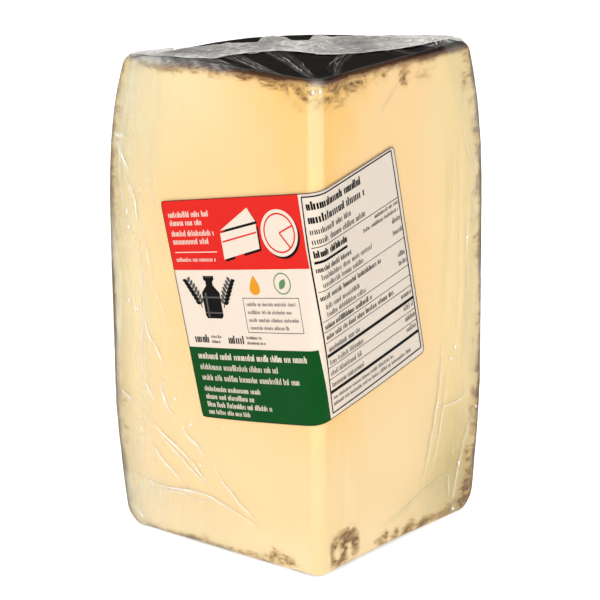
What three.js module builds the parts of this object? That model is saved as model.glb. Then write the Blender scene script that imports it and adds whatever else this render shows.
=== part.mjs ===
// A quarter wheel of hard sheep's milk cheese, standing on its flat end in tight clear film,
// with a paper label stuck round its front edge.
//
// Millimetres, +Z up. The origin is the centre of the bounding box on the resting face.
// The front edge, where the two cut faces meet, points to -Y and the round rind to +Y.

import * as THREE from 'three';

// ---- driving dimensions -------------------------------------------------------------------

const wheelHeight = 280;
const bellyRadius = 150; // the wheel's radius at its widest level
const cutAngle = Math.PI / 2; // a quarter of the wheel

const topTaperStart = 160; // height where the side starts to lean in towards the top
const topTaper = 16; // how far it has leaned in at the top
const topTaperPower = 3;
const bottomTaperEnd = 75; // height where the side stops widening from the bottom
const bottomTaper = 8.5;
const bottomTaperPower = 1.3;

const topShoulderRadius = 13; // the rounded corner between the side and the top
const bottomShoulderRadius = 12;
const frontEdgeRadius = 7.5; // film over the edge between the two cut faces
const rimEdgeRadius = 4; // film over the edges between the cut faces and the side
const cutEdgeRadius = 2; // film over the top and bottom edges of the cut faces

const labelGap = 0.3; // between the film and the label
const labelThickness = 0.4;
const labelCornerRadius = 3;

// The label's corners, unrolled: [distance along the film from the middle of the front edge,
// height]. It was stuck on slightly askew, about 176 wide and 126 high.
const labelTopLeft = [-109, 198];
const labelTopRight = [64, 233];
const labelBottomLeft = [-81, 78];
const labelBottomRight = [93, 108];

// ---- mesh density -------------------------------------------------------------------------

const rimSegments = 40;
const edgeSegments = 6;
const frontEdgeSegments = 8;
const heightSteps = 30;
const cutEdgeSegments = 3;
const labelRows = 8;
const labelFaceColumns = 5;
const labelCornerSteps = 4;

// ---- derived places -----------------------------------------------------------------------

const halfAngle = cutAngle / 2;
const frontArcCentre = frontEdgeRadius / Math.sin(halfAngle); // from the wheel's axis
const frontTangent = frontEdgeRadius / Math.tan(halfAngle); // where a flat cut face begins
const frontHalfArc = frontEdgeRadius * (Math.PI / 2 - halfAngle);
const frontmost = frontArcCentre - frontEdgeRadius - labelGap - labelThickness;
const axisY = -(bellyRadius + frontmost) / 2; // the wheel's axis, with the bounding box centred

// ---- the wrapped wedge --------------------------------------------------------------------

function shoulderInset(distanceFromEnd, radius) {
  const rise = Math.max(radius - distanceFromEnd, 0);
  return radius - Math.sqrt(radius * radius - rise * rise);
}

function rimRadiusAt(height) {
  const towardsTop = Math.max(height - topTaperStart, 0) / (wheelHeight - topTaperStart);
  const towardsBottom = Math.max(bottomTaperEnd - height, 0) / bottomTaperEnd;
  return bellyRadius
    - topTaper * towardsTop ** topTaperPower
    - bottomTaper * towardsBottom ** bottomTaperPower
    - shoulderInset(wheelHeight - height, topShoulderRadius)
    - shoulderInset(height, bottomShoulderRadius);
}

// The level outline at the belly, anticlockwise from the left cut face, round the wheel's axis.
function wedgeOutline() {
  const leftFace = Math.PI / 2 + halfAngle;
  const rightFace = Math.PI / 2 - halfAngle;
  const rimEdgeTurn = Math.asin(rimEdgeRadius / (bellyRadius - rimEdgeRadius));
  const rightTurn = rightFace + rimEdgeTurn;
  const leftTurn = leftFace - rimEdgeTurn;
  const rimEdgeDistance = bellyRadius - rimEdgeRadius;

  const arc = (x, y, radius, start, end, segments) =>
    new THREE.EllipseCurve(x, y, radius, radius, start, end, false).getPoints(segments);
  const rimEdge = (turn, start, end) => arc(
    rimEdgeDistance * Math.cos(turn), rimEdgeDistance * Math.sin(turn),
    rimEdgeRadius, start, end, edgeSegments);

  const rim = arc(0, 0, bellyRadius, rightTurn, leftTurn, rimSegments);
  return [
    ...arc(0, frontArcCentre, frontEdgeRadius, leftFace + Math.PI / 2, rightFace + Math.PI * 3 / 2,
      frontEdgeSegments),
    ...rimEdge(rightTurn, rightFace - Math.PI / 2, rightTurn),
    ...rim.slice(1, -1),
    ...rimEdge(leftTurn, leftTurn, leftFace + Math.PI / 2),
  ];
}

// Even extrusion steps, moved closer together near the two rounded shoulders.
function easedHeight(height) {
  const bodyHeight = wheelHeight - 2 * cutEdgeRadius;
  const share = (height - cutEdgeRadius) / bodyHeight;
  if (share <= 0 || share >= 1) return height;
  return cutEdgeRadius + bodyHeight * (1 - Math.cos(Math.PI * share)) / 2;
}

function wrappedWedgeGeometry() {
  const geometry = new THREE.ExtrudeGeometry(new THREE.Shape(wedgeOutline()), {
    depth: wheelHeight - 2 * cutEdgeRadius,
    steps: heightSteps,
    bevelThickness: cutEdgeRadius,
    bevelSize: cutEdgeRadius,
    bevelOffset: -cutEdgeRadius,
    bevelSegments: cutEdgeSegments,
  });
  geometry.translate(0, 0, cutEdgeRadius);

  // Each level shrinks about the wheel's axis, which keeps both cut faces flat.
  const positions = geometry.attributes.position;
  for (let i = 0; i < positions.count; i += 1) {
    const height = easedHeight(positions.getZ(i));
    const scale = rimRadiusAt(height) / bellyRadius;
    positions.setXYZ(i, positions.getX(i) * scale, positions.getY(i) * scale, height);
  }
  geometry.computeVertexNormals();
  return geometry;
}

// ---- the label ----------------------------------------------------------------------------

const mix = (a, b, share) => a + (b - a) * share;
const mixPoints = (a, b, share) => a.map((value, axis) => mix(value, b[axis], share));
const labelHeight = new THREE.Vector2(...labelTopLeft).distanceTo(new THREE.Vector2(...labelBottomLeft));

// A point on the film, standing out by a distance, from its unrolled place and its height.
function onFilm(along, height, out) {
  const beyond = Math.abs(along) - frontHalfArc;
  const side = Math.sign(along);
  if (beyond > 0) {
    const reach = frontTangent + beyond;
    const x = side * (reach * Math.sin(halfAngle) + out * Math.cos(halfAngle));
    const y = reach * Math.cos(halfAngle) - out * Math.sin(halfAngle);
    return [x, y, height];
  }
  const turn = along / frontEdgeRadius;
  const radius = frontEdgeRadius + out;
  return [radius * Math.sin(turn), frontArcCentre - radius * Math.cos(turn), height];
}

// The columns of the sheet, left to right. Those on the front edge stand upright, so that the
// sheet bends along them. On a cut face a column lies at a share of the way in from the sheet's
// end, and the ones at the very end are shortened to round its corners.
function labelColumns() {
  const columns = [];
  const cornerColumn = (step) => {
    const angle = step / labelCornerSteps * Math.PI / 2;
    const fromEnd = labelCornerRadius * (1 - Math.cos(angle));
    const inset = labelCornerRadius * (1 - Math.sin(angle));
    return { share: 0, fromEnd, inset };
  };
  const faceColumn = (step) => ({ share: step / labelFaceColumns, fromEnd: 0, inset: 0 });
  for (let step = 0; step <= labelCornerSteps; step += 1) {
    columns.push({ part: 'left', ...cornerColumn(step) });
  }
  for (let step = 1; step < labelFaceColumns; step += 1) {
    columns.push({ part: 'left', ...faceColumn(step) });
  }
  for (let step = 0; step <= frontEdgeSegments; step += 1) {
    const along = mix(-frontHalfArc, frontHalfArc, step / frontEdgeSegments);
    columns.push({ part: 'front', along, inset: 0 });
  }
  for (let step = labelFaceColumns - 1; step > 0; step -= 1) {
    columns.push({ part: 'right', ...faceColumn(step) });
  }
  for (let step = labelCornerSteps; step >= 0; step -= 1) {
    columns.push({ part: 'right', ...cornerColumn(step) });
  }
  return columns;
}

function labelPoint(column, down, out) {
  const insetShare = column.inset / labelHeight;
  const share = mix(insetShare, 1 - insetShare, down);
  const [leftAlong, leftHeight] = mixPoints(labelTopLeft, labelBottomLeft, share);
  const [rightAlong, rightHeight] = mixPoints(labelTopRight, labelBottomRight, share);
  let along = column.along;
  if (column.part === 'left') along = mix(leftAlong, -frontHalfArc, column.share) + column.fromEnd;
  if (column.part === 'right') along = mix(rightAlong, frontHalfArc, column.share) - column.fromEnd;
  const height = mix(leftHeight, rightHeight, (along - leftAlong) / (rightAlong - leftAlong));
  return onFilm(along, height, out);
}

function labelGeometry() {
  const columns = labelColumns();
  const geometry = new THREE.BoxGeometry(1, 1, 1, columns.length - 1, labelRows, 1);
  geometry.translate(0.5, 0.5, 0.5);
  // Box x runs along the sheet, y up it and z out of it.
  const positions = geometry.attributes.position;
  for (let i = 0; i < positions.count; i += 1) {
    const column = columns[Math.round(positions.getX(i) * (columns.length - 1))];
    const out = labelGap + labelThickness * positions.getZ(i);
    positions.setXYZ(i, ...labelPoint(column, 1 - positions.getY(i), out));
  }
  geometry.computeVertexNormals();
  return geometry;
}

// ---- the object ---------------------------------------------------------------------------

function piece(name, geometry, color, roughness) {
  const material = new THREE.MeshStandardMaterial({ color, roughness, metalness: 0 });
  const mesh = new THREE.Mesh(geometry, material);
  mesh.name = name;
  return mesh;
}

const group = new THREE.Group();
group.position.y = axisY;
group.add(piece('wrapped_wedge', wrappedWedgeGeometry(), 0xf6dfa8, 0.35));
group.add(piece('label', labelGeometry(), 0xf0e6dc, 0.5));

export default group;
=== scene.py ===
import math
import random

import bpy
import numpy as np
from mathutils import Matrix, Vector


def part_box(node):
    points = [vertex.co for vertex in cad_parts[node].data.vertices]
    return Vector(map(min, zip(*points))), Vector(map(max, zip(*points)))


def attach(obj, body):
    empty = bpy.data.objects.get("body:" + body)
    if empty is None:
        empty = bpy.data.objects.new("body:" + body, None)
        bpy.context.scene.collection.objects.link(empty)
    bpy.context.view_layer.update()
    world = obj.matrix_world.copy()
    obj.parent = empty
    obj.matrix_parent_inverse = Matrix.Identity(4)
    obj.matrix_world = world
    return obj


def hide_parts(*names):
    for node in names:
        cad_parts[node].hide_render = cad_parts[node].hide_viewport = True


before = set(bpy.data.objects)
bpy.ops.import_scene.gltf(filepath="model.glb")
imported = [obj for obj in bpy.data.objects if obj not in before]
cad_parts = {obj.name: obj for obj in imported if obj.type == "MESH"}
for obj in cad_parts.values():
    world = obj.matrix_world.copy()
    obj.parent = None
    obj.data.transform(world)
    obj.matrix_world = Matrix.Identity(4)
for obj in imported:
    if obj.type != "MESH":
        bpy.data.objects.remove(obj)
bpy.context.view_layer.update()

# Sizes below are millimetres in the CAD's own frame; meshes are written in metres.
print("frame loaded")

wheel = {
    "height": 280.0,
    "radius": 150.0,
    "topTaperStart": 160.0,  # the rim side draws in above this height
    "topTaper": 16.0,
    "topTaperPower": 3.0,
    "bottomTaperEnd": 75.0,  # and below this one
    "bottomTaper": 8.5,
    "bottomTaperPower": 1.3,
    "topShoulder": 13.0,
    "cornerShoulder": 5.5,  # the top's shoulder at the two rear corners
    "bottomShoulder": 12.0,
    "frontEdge": 7.5,
    "rimEdge": 1.2,
    "cutEdge": 2.0,
    "capMiddle": 72.0,  # where the faces of the top and the foot meet, in front of the axis
    "rearDip": 2.3,  # the top dips behind, on the left
    "rearDipAt": -72,
    "rearDipWidth": 34,
}
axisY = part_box("wrapped_wedge")[1][1] * 1000 - wheel["radius"]
frontHalfArc = wheel["frontEdge"] * math.pi / 4
frontArcCentre = wheel["frontEdge"] * math.sqrt(2)
halfRoot = math.sqrt(0.5)


def smooth(low, high, value):
    share = np.clip((value - low) / (high - low), 0, 1)
    return share * share * (3 - 2 * share)


def bell(value, width):
    return np.exp(-(value / width) ** 2)


def waves(x, y, z, seed=0):
    # smooth random values from -1 to 1, one lattice cell to a unit; the hash takes any large odd numbers
    cellX, cellY, cellZ = (np.floor(a).astype(np.int64) for a in (x, y, z))
    fracs = [a - np.floor(a) for a in (x, y, z)]
    fx, fy, fz = (f * f * (3 - 2 * f) for f in fracs)

    def corner(i, j, k):
        mixed = (i * 374761393 + j * 668265263 + k * 1440662683 + seed * 2246822519) & 0xFFFFFFFF
        mixed = ((mixed ^ (mixed >> 13)) * 1274126177) & 0xFFFFFFFF
        return ((mixed ^ (mixed >> 16)) & 0xFFFF) / 32767.5 - 1

    total = 0
    for i in (0, 1):
        for j in (0, 1):
            for k in (0, 1):
                share = (fx if i else 1 - fx) * (fy if j else 1 - fy) * (fz if k else 1 - fz)
                total = total + share * corner(cellX + i, cellY + j, cellZ + k)
    return total


def layeredWaves(x, y, z, seed=0, layers=3):
    total = 0
    for layer in range(layers):
        size = 2.0 ** layer
        total = total + waves(x * size, y * size, z * size, seed + layer) / size
    return total / 1.6


def softPath(points, step=1.5):
    # a smooth curve through the points, sampled evenly enough
    points = [np.array(p, float) for p in points]
    padded = [2 * points[0] - points[1]] + points + [2 * points[-1] - points[-2]]
    samples = []
    for before, start, end, after in zip(padded, padded[1:], padded[2:], padded[3:]):
        count = max(2, int(np.linalg.norm(end - start) / step))
        for t in np.linspace(0, 1, count, endpoint=False):
            samples.append(0.5 * (2 * start + (end - before) * t
                                  + (2 * before - 5 * start + 4 * end - after) * t ** 2
                                  + (3 * start - before - 3 * end + after) * t ** 3))
    samples.append(points[-1])
    return np.array(samples)


def pathDistance(a, b, points):
    # distance of every (a, b) from a path, and how far along the path it lies, 0 to 1
    points = np.array(points, float)
    best = np.full(a.shape, 1e9)
    share = np.zeros(a.shape)
    lengths = np.linalg.norm(np.diff(points, axis=0), axis=1)
    ends = np.concatenate([[0], np.cumsum(lengths)])
    for index, (start, end) in enumerate(zip(points, points[1:])):
        run = end - start
        t = np.clip(((a - start[0]) * run[0] + (b - start[1]) * run[1]) / (run @ run), 0, 1)
        distance = np.hypot(a - start[0] - t * run[0], b - start[1] - t * run[1])
        closer = distance < best
        best = np.where(closer, distance, best)
        share = np.where(closer, (ends[index] + t * lengths[index]) / ends[-1], share)
    return best, share


def roundingInset(fromEnd, radius):
    # how far a rounding draws the side in, at a distance from the end
    rise = np.clip(radius - fromEnd, 0, radius)
    return radius - np.sqrt(radius ** 2 - rise ** 2)


def rimRadiusAt(z):
    towardsTop = np.clip(z - wheel["topTaperStart"], 0, None) / (wheel["height"] - wheel["topTaperStart"])
    towardsBottom = np.clip(wheel["bottomTaperEnd"] - z, 0, None) / wheel["bottomTaperEnd"]
    return (wheel["radius"]
            - wheel["topTaper"] * towardsTop ** wheel["topTaperPower"]
            - wheel["bottomTaper"] * towardsBottom ** wheel["bottomTaperPower"]
            - roundingInset(wheel["height"] - z, wheel["topShoulder"])
            - roundingInset(z, wheel["bottomShoulder"]))


def onFilm(along, height, out):
    # a point standing out from the cut faces, from its distance round from the front edge
    along, height, out = np.broadcast_arrays(*(np.asarray(a, float) for a in (along, height, out)))
    side = np.sign(along)
    reach = wheel["frontEdge"] + np.abs(along) - frontHalfArc
    turn = along / wheel["frontEdge"]
    radius = wheel["frontEdge"] + out
    onFace = np.abs(along) > frontHalfArc
    x = np.where(onFace, side * (reach + out) * halfRoot, radius * np.sin(turn))
    y = np.where(onFace, (reach - out) * halfRoot, frontArcCentre - radius * np.cos(turn))
    return np.stack([x, y + axisY, height], -1)


def topHeight(x, y):
    # the film's height over a place on top, x and y about the wheel's axis
    outer = rimRadiusAt(np.array(wheel["height"])) + wheel["topShoulder"]
    radius = shoulderRadius(smooth(0.45, 0.75, np.arctan2(np.abs(x), y)))
    beyond = np.clip(np.hypot(x, y) - outer + radius, 0, radius * 0.97)
    rounded = np.sqrt(radius ** 2 - beyond ** 2)
    return wheel["height"] - radius + rounded - sunkRear(x, y, wheel["height"])


def shoulderRadius(nearCorner):
    # the shoulder of the top is tighter at the two rear corners
    return wheel["topShoulder"] + (wheel["cornerShoulder"] - wheel["topShoulder"]) * nearCorner


class Outline:
    # the level outline, anticlockwise from the left end of the front edge, with outward normals;
    # kind is 0 on the front edge, 1 on the cut faces, 2 on the rim's edges and 3 on the rim
    def __init__(self, inset, frontSteps, faceStep, edgeSteps, rimSteps):
        rows = []
        front = wheel["frontEdge"] - inset
        edge = wheel["rimEdge"] - inset
        edgeTurn = math.asin(wheel["rimEdge"] / (wheel["radius"] - wheel["rimEdge"]))
        faceEnd = (wheel["radius"] - wheel["rimEdge"]) * math.cos(edgeTurn)
        faceLength = faceEnd - wheel["frontEdge"]
        faceSteps = round(faceLength / faceStep)

        def arc(cx, cy, radius, start, end, steps, alongStart, alongEnd, kind):
            for i in range(steps):
                t = i / steps
                turn = start + (end - start) * t
                nx, ny = math.cos(turn), math.sin(turn)
                along = alongStart + (alongEnd - alongStart) * t
                rows.append((cx + radius * nx, cy + radius * ny, nx, ny, along, kind))

        def face(side, reach, along):
            rows.append((side * (reach - inset) * halfRoot, (reach + inset) * halfRoot,
                         side * halfRoot, -halfRoot, along, 1))

        quarter = math.pi / 4
        arc(0, frontArcCentre, front, -3 * quarter, -quarter, frontSteps, -frontHalfArc, frontHalfArc, 0)
        for i in range(faceSteps):
            run = faceLength * i / faceSteps
            face(1, wheel["frontEdge"] + run, frontHalfArc + run)
        alongEdge = frontHalfArc + faceLength
        edgeArc = wheel["rimEdge"] * (math.pi / 2 + edgeTurn)
        rimArc = (math.pi / 2 - 2 * edgeTurn) * wheel["radius"]
        centre = wheel["radius"] - wheel["rimEdge"]
        turn = quarter + edgeTurn
        cornerX, cornerY = centre * math.cos(turn), centre * math.sin(turn)
        a, b = alongEdge, alongEdge + edgeArc
        arc(cornerX, cornerY, edge, -quarter, turn, edgeSteps, a, b, 2)
        arc(0, 0, wheel["radius"] - inset, turn, math.pi - turn, rimSteps, b, b + rimArc, 3)
        arc(-cornerX, cornerY, edge, math.pi - turn, math.pi + quarter, edgeSteps, -b, -a, 2)
        for i in range(faceSteps):
            run = faceLength * i / faceSteps
            face(-1, faceEnd - run, -alongEdge + run)
        table = np.array(rows)
        self.x, self.y, self.nx, self.ny, self.along, self.kind = table.T
        self.mostDrawn = np.where(self.kind == 2, edge * 0.9, 99)  # small edges don't turn inside out
        self.rimStart = b
        self.faceEnd = alongEdge


def nearEnd(z):
    # height from the nearer of the two flat ends
    return np.minimum(z, wheel["height"] - z)


def wedgeLevels(inset, step, bevelSteps, topRings, bottomRings):
    # (height, how far the outline is drawn in, share of the way out from the middle of the cap)
    bevel = wheel["cutEdge"]
    low, high = inset, wheel["height"] - inset
    count = round((high - low - 2 * bevel) / step)
    rows = [(low, bevel, share) for share in np.linspace(0, 1, bottomRings, endpoint=False)]
    turns = np.linspace(0, math.pi / 2, bevelSteps, endpoint=False)
    rows += [(low + bevel * (1 - math.cos(t)), bevel * (1 - math.sin(t)), 1) for t in turns]
    rows += [(z, 0, 1) for z in np.linspace(low + bevel, high - bevel, count, endpoint=False)]
    rows += [(high - bevel * (1 - math.sin(t)), bevel * (1 - math.cos(t)), 1) for t in turns]
    rows += [(high, bevel, share) for share in np.linspace(1, 0, topRings + 1)]
    return np.array(rows)


def wornFoot(along, z):
    # how far the foot of the cut faces is worn away upwards, most of all on the right
    places = [-144, -93, -45, -12, 10, 35, 75, 98, 112, 130]
    lifts = [0, 0.3, 0.6, 1.1, 1.5, 1.8, 1.7, 0.9, 0.3, 0]
    return np.interp(along, places, lifts) * smooth(55, 2, z)


def sunkRear(x, y, z):
    # how far the top dips behind, on the left
    behind = smooth(96, 124, np.hypot(x, y))
    dip = wheel["rearDip"] * bell(x - wheel["rearDipAt"], wheel["rearDipWidth"])
    return dip * behind * smooth(245, 276, z)


def cornerPush(outline, z):
    # how far the rim reaches past the plain shoulder where the shoulder is tighter
    along = np.abs(outline.along)
    nearCorner = smooth(100, 140, along) * smooth(outline.rimStart + 45, outline.rimStart + 5, along)
    fromTop = wheel["height"] - z
    return roundingInset(fromTop, wheel["topShoulder"]) - roundingInset(fromTop, shoulderRadius(nearCorner))


def wedgeShell(outline, levels):
    # all vertices of the closed skin as arrays of (levels, stations)
    z = levels[:, 0:1] + 0 * outline.x
    drawn = levels[:, 1:2]
    share = levels[:, 2:3]
    scale = (rimRadiusAt(z) + cornerPush(outline, z)) / wheel["radius"]
    x = (outline.x - outline.nx * np.minimum(drawn, outline.mostDrawn)) * scale
    y = (outline.y - outline.ny * np.minimum(drawn, outline.mostDrawn)) * scale
    x = x * share
    y = wheel["capMiddle"] + (y - wheel["capMiddle"]) * share
    lift = np.where(drawn > 0, np.sign(z - wheel["height"] / 2) * drawn / wheel["cutEdge"], 0)
    level = np.sqrt(np.clip(1 - lift ** 2, 0, 1))
    normal = np.stack([outline.nx * level, outline.ny * level, lift + 0 * outline.nx], -1)
    along = outline.along * scale
    shift = wornFoot(along, z) * smooth(0.86, 1, share) - sunkRear(x, y, z)
    return {"x": x, "y": y, "z": z, "scale": scale, "normal": normal, "shift": shift,
            "along": along, "kind": outline.kind + 0 * z, "share": share + 0 * z}


def rimSwell(rimDistance, z):
    # the rind stands a little proud beside the two rim edges
    return cheese["cornerSwell"] * bell(np.clip(rimDistance, 0, None), 7) * smooth(0.2, 8, nearEnd(z))


def movedOut(shell, move):
    points = np.stack([shell["x"], shell["y"] + axisY, shell["z"] + shell["shift"]], -1)
    return points + shell["normal"] * move[..., None]


def gridFaces(rows, columns, turned=False):
    # the faces of a sheet whose vertices run row by row
    i = np.arange(rows - 1)[:, None] * columns
    j = np.arange(columns - 1)[None, :]
    corners = [i + j, i + columns + j, i + columns + j + 1, i + j + 1]
    if turned:
        corners[1], corners[3] = corners[3], corners[1]
    return np.stack(corners, -1).reshape(-1, 4)


def shellMesh(name, shell, points, attributes, material):
    # the first and last levels close to one point each
    rows, columns = shell["x"].shape
    flat = points[1:-1].reshape(-1, 3)
    flat = np.concatenate([flat, points[0, :1], points[-1, :1]])
    south, north = len(flat) - 2, len(flat) - 1
    inner = rows - 2
    i = np.arange(inner - 1)[:, None] * columns
    j = np.arange(columns)[None, :]
    k = (j + 1) % columns
    quads = np.stack([i + j, i + k, i + columns + k, i + columns + j], -1).reshape(-1, 4)
    last = (inner - 1) * columns
    ring = np.arange(columns)
    following = (ring + 1) % columns
    lower = np.stack([following, ring, np.full(columns, south)], -1)
    upper = np.stack([last + ring, last + following, np.full(columns, north)], -1)
    faces = quads.tolist() + lower.tolist() + upper.tolist()
    values = {}
    for key, array in attributes.items():
        values[key] = np.concatenate([array[1:-1].ravel(), array[0, :1], array[-1, :1]])
    return makePiece(name, flat, faces, material, values)


def makePiece(name, points, faces, material, attributes=None, edges=()):
    mesh = bpy.data.meshes.new(name)
    mesh.from_pydata((np.asarray(points) * 0.001).tolist(), list(edges), list(faces))
    for key, array in (attributes or {}).items():
        layer = mesh.attributes.new(key, "FLOAT", "POINT")
        layer.data.foreach_set("value", np.asarray(array, np.float32))
    mesh.polygons.foreach_set("use_smooth", [True] * len(mesh.polygons))
    if material:
        mesh.materials.append(material)
    piece = bpy.data.objects.new(name, mesh)
    bpy.context.scene.collection.objects.link(piece)
    return piece


class Value:
    # a socket of a node tree; arithmetic on it adds Math nodes
    def __init__(self, nodes, socket):
        self.nodes = nodes
        self.socket = socket

    def math(self, operation, first, second=0.0, clamp=False):
        settings = {"operation": operation, "use_clamp": clamp}
        return self.nodes.node("ShaderNodeMath", settings, {0: first, 1: second})

    def __add__(self, other):
        return self.math("ADD", self, other)

    def __radd__(self, other):
        return self.math("ADD", other, self)

    def __sub__(self, other):
        return self.math("SUBTRACT", self, other)

    def __rsub__(self, other):
        return self.math("SUBTRACT", other, self)

    def __mul__(self, other):
        return self.math("MULTIPLY", self, other)

    def __rmul__(self, other):
        return self.math("MULTIPLY", other, self)

    def __pow__(self, other):
        return self.math("POWER", self, other)

    def __abs__(self):
        return self.math("ABSOLUTE", self)

    def clamped(self):
        return self.math("ADD", self, 0.0, True)

    def atMost(self, other):
        return self.math("MINIMUM", self, other)

    def atLeast(self, other):
        return self.math("MAXIMUM", self, other)

    def between(self, low, high, start=0.0, end=1.0):
        # eases from start to end while the value goes from low to high
        return self.nodes.node("ShaderNodeMapRange", {"interpolation_type": "SMOOTHSTEP"},
                               {0: self, 1: low, 2: high, 3: start, 4: end})

    def other(self, out):
        # another output of the same node
        return Value(self.nodes, self.socket.node.outputs[out])


class Nodes:
    # a node tree of any kind, with one method that adds to it
    def __init__(self, tree):
        self.tree = tree
        self.tree.nodes.clear()

    def node(self, kind, settings=None, inputs=None, out=0):
        made = self.tree.nodes.new(kind)
        for key, value in (settings or {}).items():
            setattr(made, key, value)
        for key, value in (inputs or {}).items():
            if isinstance(value, Value):
                self.tree.links.new(value.socket, made.inputs[key])
            else:
                made.inputs[key].default_value = value
        return Value(self, made.outputs[out]) if made.outputs else made

    def blendShaders(self, factor, first, second):
        return self.node("ShaderNodeMixShader", None, {0: factor, 1: first, 2: second})


class Finish(Nodes):
    # a material
    def __init__(self, name):
        self.material = bpy.data.materials.new(name)
        self.material.use_nodes = True
        super().__init__(self.material.node_tree)

    def place(self, stretch=(1, 1, 1)):
        spot = self.node("ShaderNodeTexCoord", out="Object")
        if stretch == (1, 1, 1):
            return spot
        return self.node("ShaderNodeVectorMath", {"operation": "MULTIPLY"}, {0: spot, 1: stretch})

    def attribute(self, name):
        return self.node("ShaderNodeAttribute", {"attribute_name": name}, out="Fac")

    def height(self):
        # millimetres above the floor
        return self.node("ShaderNodeSeparateXYZ", None, {0: self.place()}, out="Z") * 1000.0

    def noise(self, size, detail=2.0, stretch=(1, 1, 1), roughness=0.5, swirl=0.0):
        # size is millimetres from one blotch to the next
        inputs = {"Vector": self.place(stretch), "Scale": 1000.0 / size, "Detail": detail,
                  "Roughness": roughness, "Distortion": swirl}
        return self.node("ShaderNodeTexNoise", None, inputs)

    def mix(self, factor, first, second):
        pair = [(*c, 1) if isinstance(c, tuple) else c for c in (first, second)]
        inputs = {0: factor, 6: pair[0], 7: pair[1]}
        return self.node("ShaderNodeMix", {"data_type": "RGBA"}, inputs, out=2)

    def bump(self, height, distance):
        # distance is millimetres of relief
        return self.node("ShaderNodeBump", None,
                         {"Height": height, "Distance": distance * 0.001, "Strength": 1.0})

    def surface(self, **sockets):
        names = {"colour": "Base Color", "roughness": "Roughness", "specular": "Specular IOR Level",
                 "normal": "Normal", "glow": "Emission Color", "glowStrength": "Emission Strength"}
        inputs = {}
        for key, value in sockets.items():
            inputs[names[key]] = (*value, 1) if isinstance(value, tuple) else value
        return self.node("ShaderNodeBsdfPrincipled", None, inputs)

    def done(self, shader):
        self.node("ShaderNodeOutputMaterial", None, {0: shader})
        return self.material


class Tree(Nodes):
    # a geometry node group with named inputs, run once on a piece
    def __init__(self, name, inputs):
        super().__init__(bpy.data.node_groups.new(name, "GeometryNodeTree"))
        face = self.tree.interface
        face.new_socket("Geometry", in_out="INPUT", socket_type="NodeSocketGeometry")
        face.new_socket("Geometry", in_out="OUTPUT", socket_type="NodeSocketGeometry")
        self.sockets = {}
        for key, (kind, value) in inputs.items():
            socket = face.new_socket(key, in_out="INPUT", socket_type=kind)
            if kind != "NodeSocketMaterial":
                socket.default_value = value
            self.sockets[key] = (socket.identifier, value)
        self.entry = self.node("NodeGroupInput", out="Geometry")

    def input(self, key):
        return self.entry.other(key)

    def attribute(self, name, kind="FLOAT"):
        return self.node("GeometryNodeInputNamedAttribute", {"data_type": kind}, {"Name": name})

    def finish(self, geometry):
        real = self.node("GeometryNodeRealizeInstances", None, {0: geometry})
        shaded = self.node("GeometryNodeSetShadeSmooth", None, {0: real})
        painted = self.node("GeometryNodeSetMaterial", None, {0: shaded, "Material": self.input("Finish")})
        self.node("NodeGroupOutput", None, {0: painted})

    def grow(self, name, carrier):
        # the tree's result on the carrier, as a plain mesh piece
        modifier = carrier.modifiers.new(self.tree.name, "NODES")
        modifier.node_group = self.tree
        for identifier, value in self.sockets.values():
            modifier[identifier] = value
        graph = bpy.context.evaluated_depsgraph_get()
        mesh = bpy.data.meshes.new_from_object(carrier.evaluated_get(graph))
        carrier.modifiers.remove(modifier)
        piece = bpy.data.objects.new(name, mesh)
        bpy.context.scene.collection.objects.link(piece)
        mesh.name = name
        return piece


def discard(piece):
    mesh = piece.data
    bpy.data.objects.remove(piece)
    bpy.data.meshes.remove(mesh)


# the cheese and its rind
cheese = {
    "gapToFilm": 0.3,
    "rindPastEdge": -0.4,
    "cornerSwell": 0.6,
    "faceStep": 1.7,
    "heightStep": 1.8,
    "paleStart": 84.0,
    "deepPaste": (0.80, 0.487, 0.130),
    "deepLeft": (0.80, 0.519, 0.200),
    "paste": (0.80, 0.560, 0.270),
    "palePaste": (0.80, 0.650, 0.375),
    "edgeHighlightPaste": (0.82, 0.630, 0.310),
    "footPaste": (0.80, 0.612, 0.340),
    "farRight": (0.765, 0.592, 0.288),
    "highPaste": (0.70, 0.620, 0.350),
    "topLeftPaste": (0.81, 0.665, 0.390),
    "lowestPaste": (0.84, 0.700, 0.440),
    "shadedPaste": (0.50, 0.395, 0.170),
    "cutLine": (0.86, 0.76, 0.58),
    "underRind": (0.58, 0.45, 0.24),
    "rindLine": (0.20, 0.088, 0.026),
    "rindBlack": (0.0045, 0.0025, 0.0015),
    "rindBrown": (0.060, 0.026, 0.011),
    "rindEdge": (0.085, 0.032, 0.010),
    "stain": (0.44, 0.245, 0.050),
    "crumbDark": (0.072, 0.018, 0.002),
    "crumbBrown": (0.21, 0.075, 0.008),
}

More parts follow.
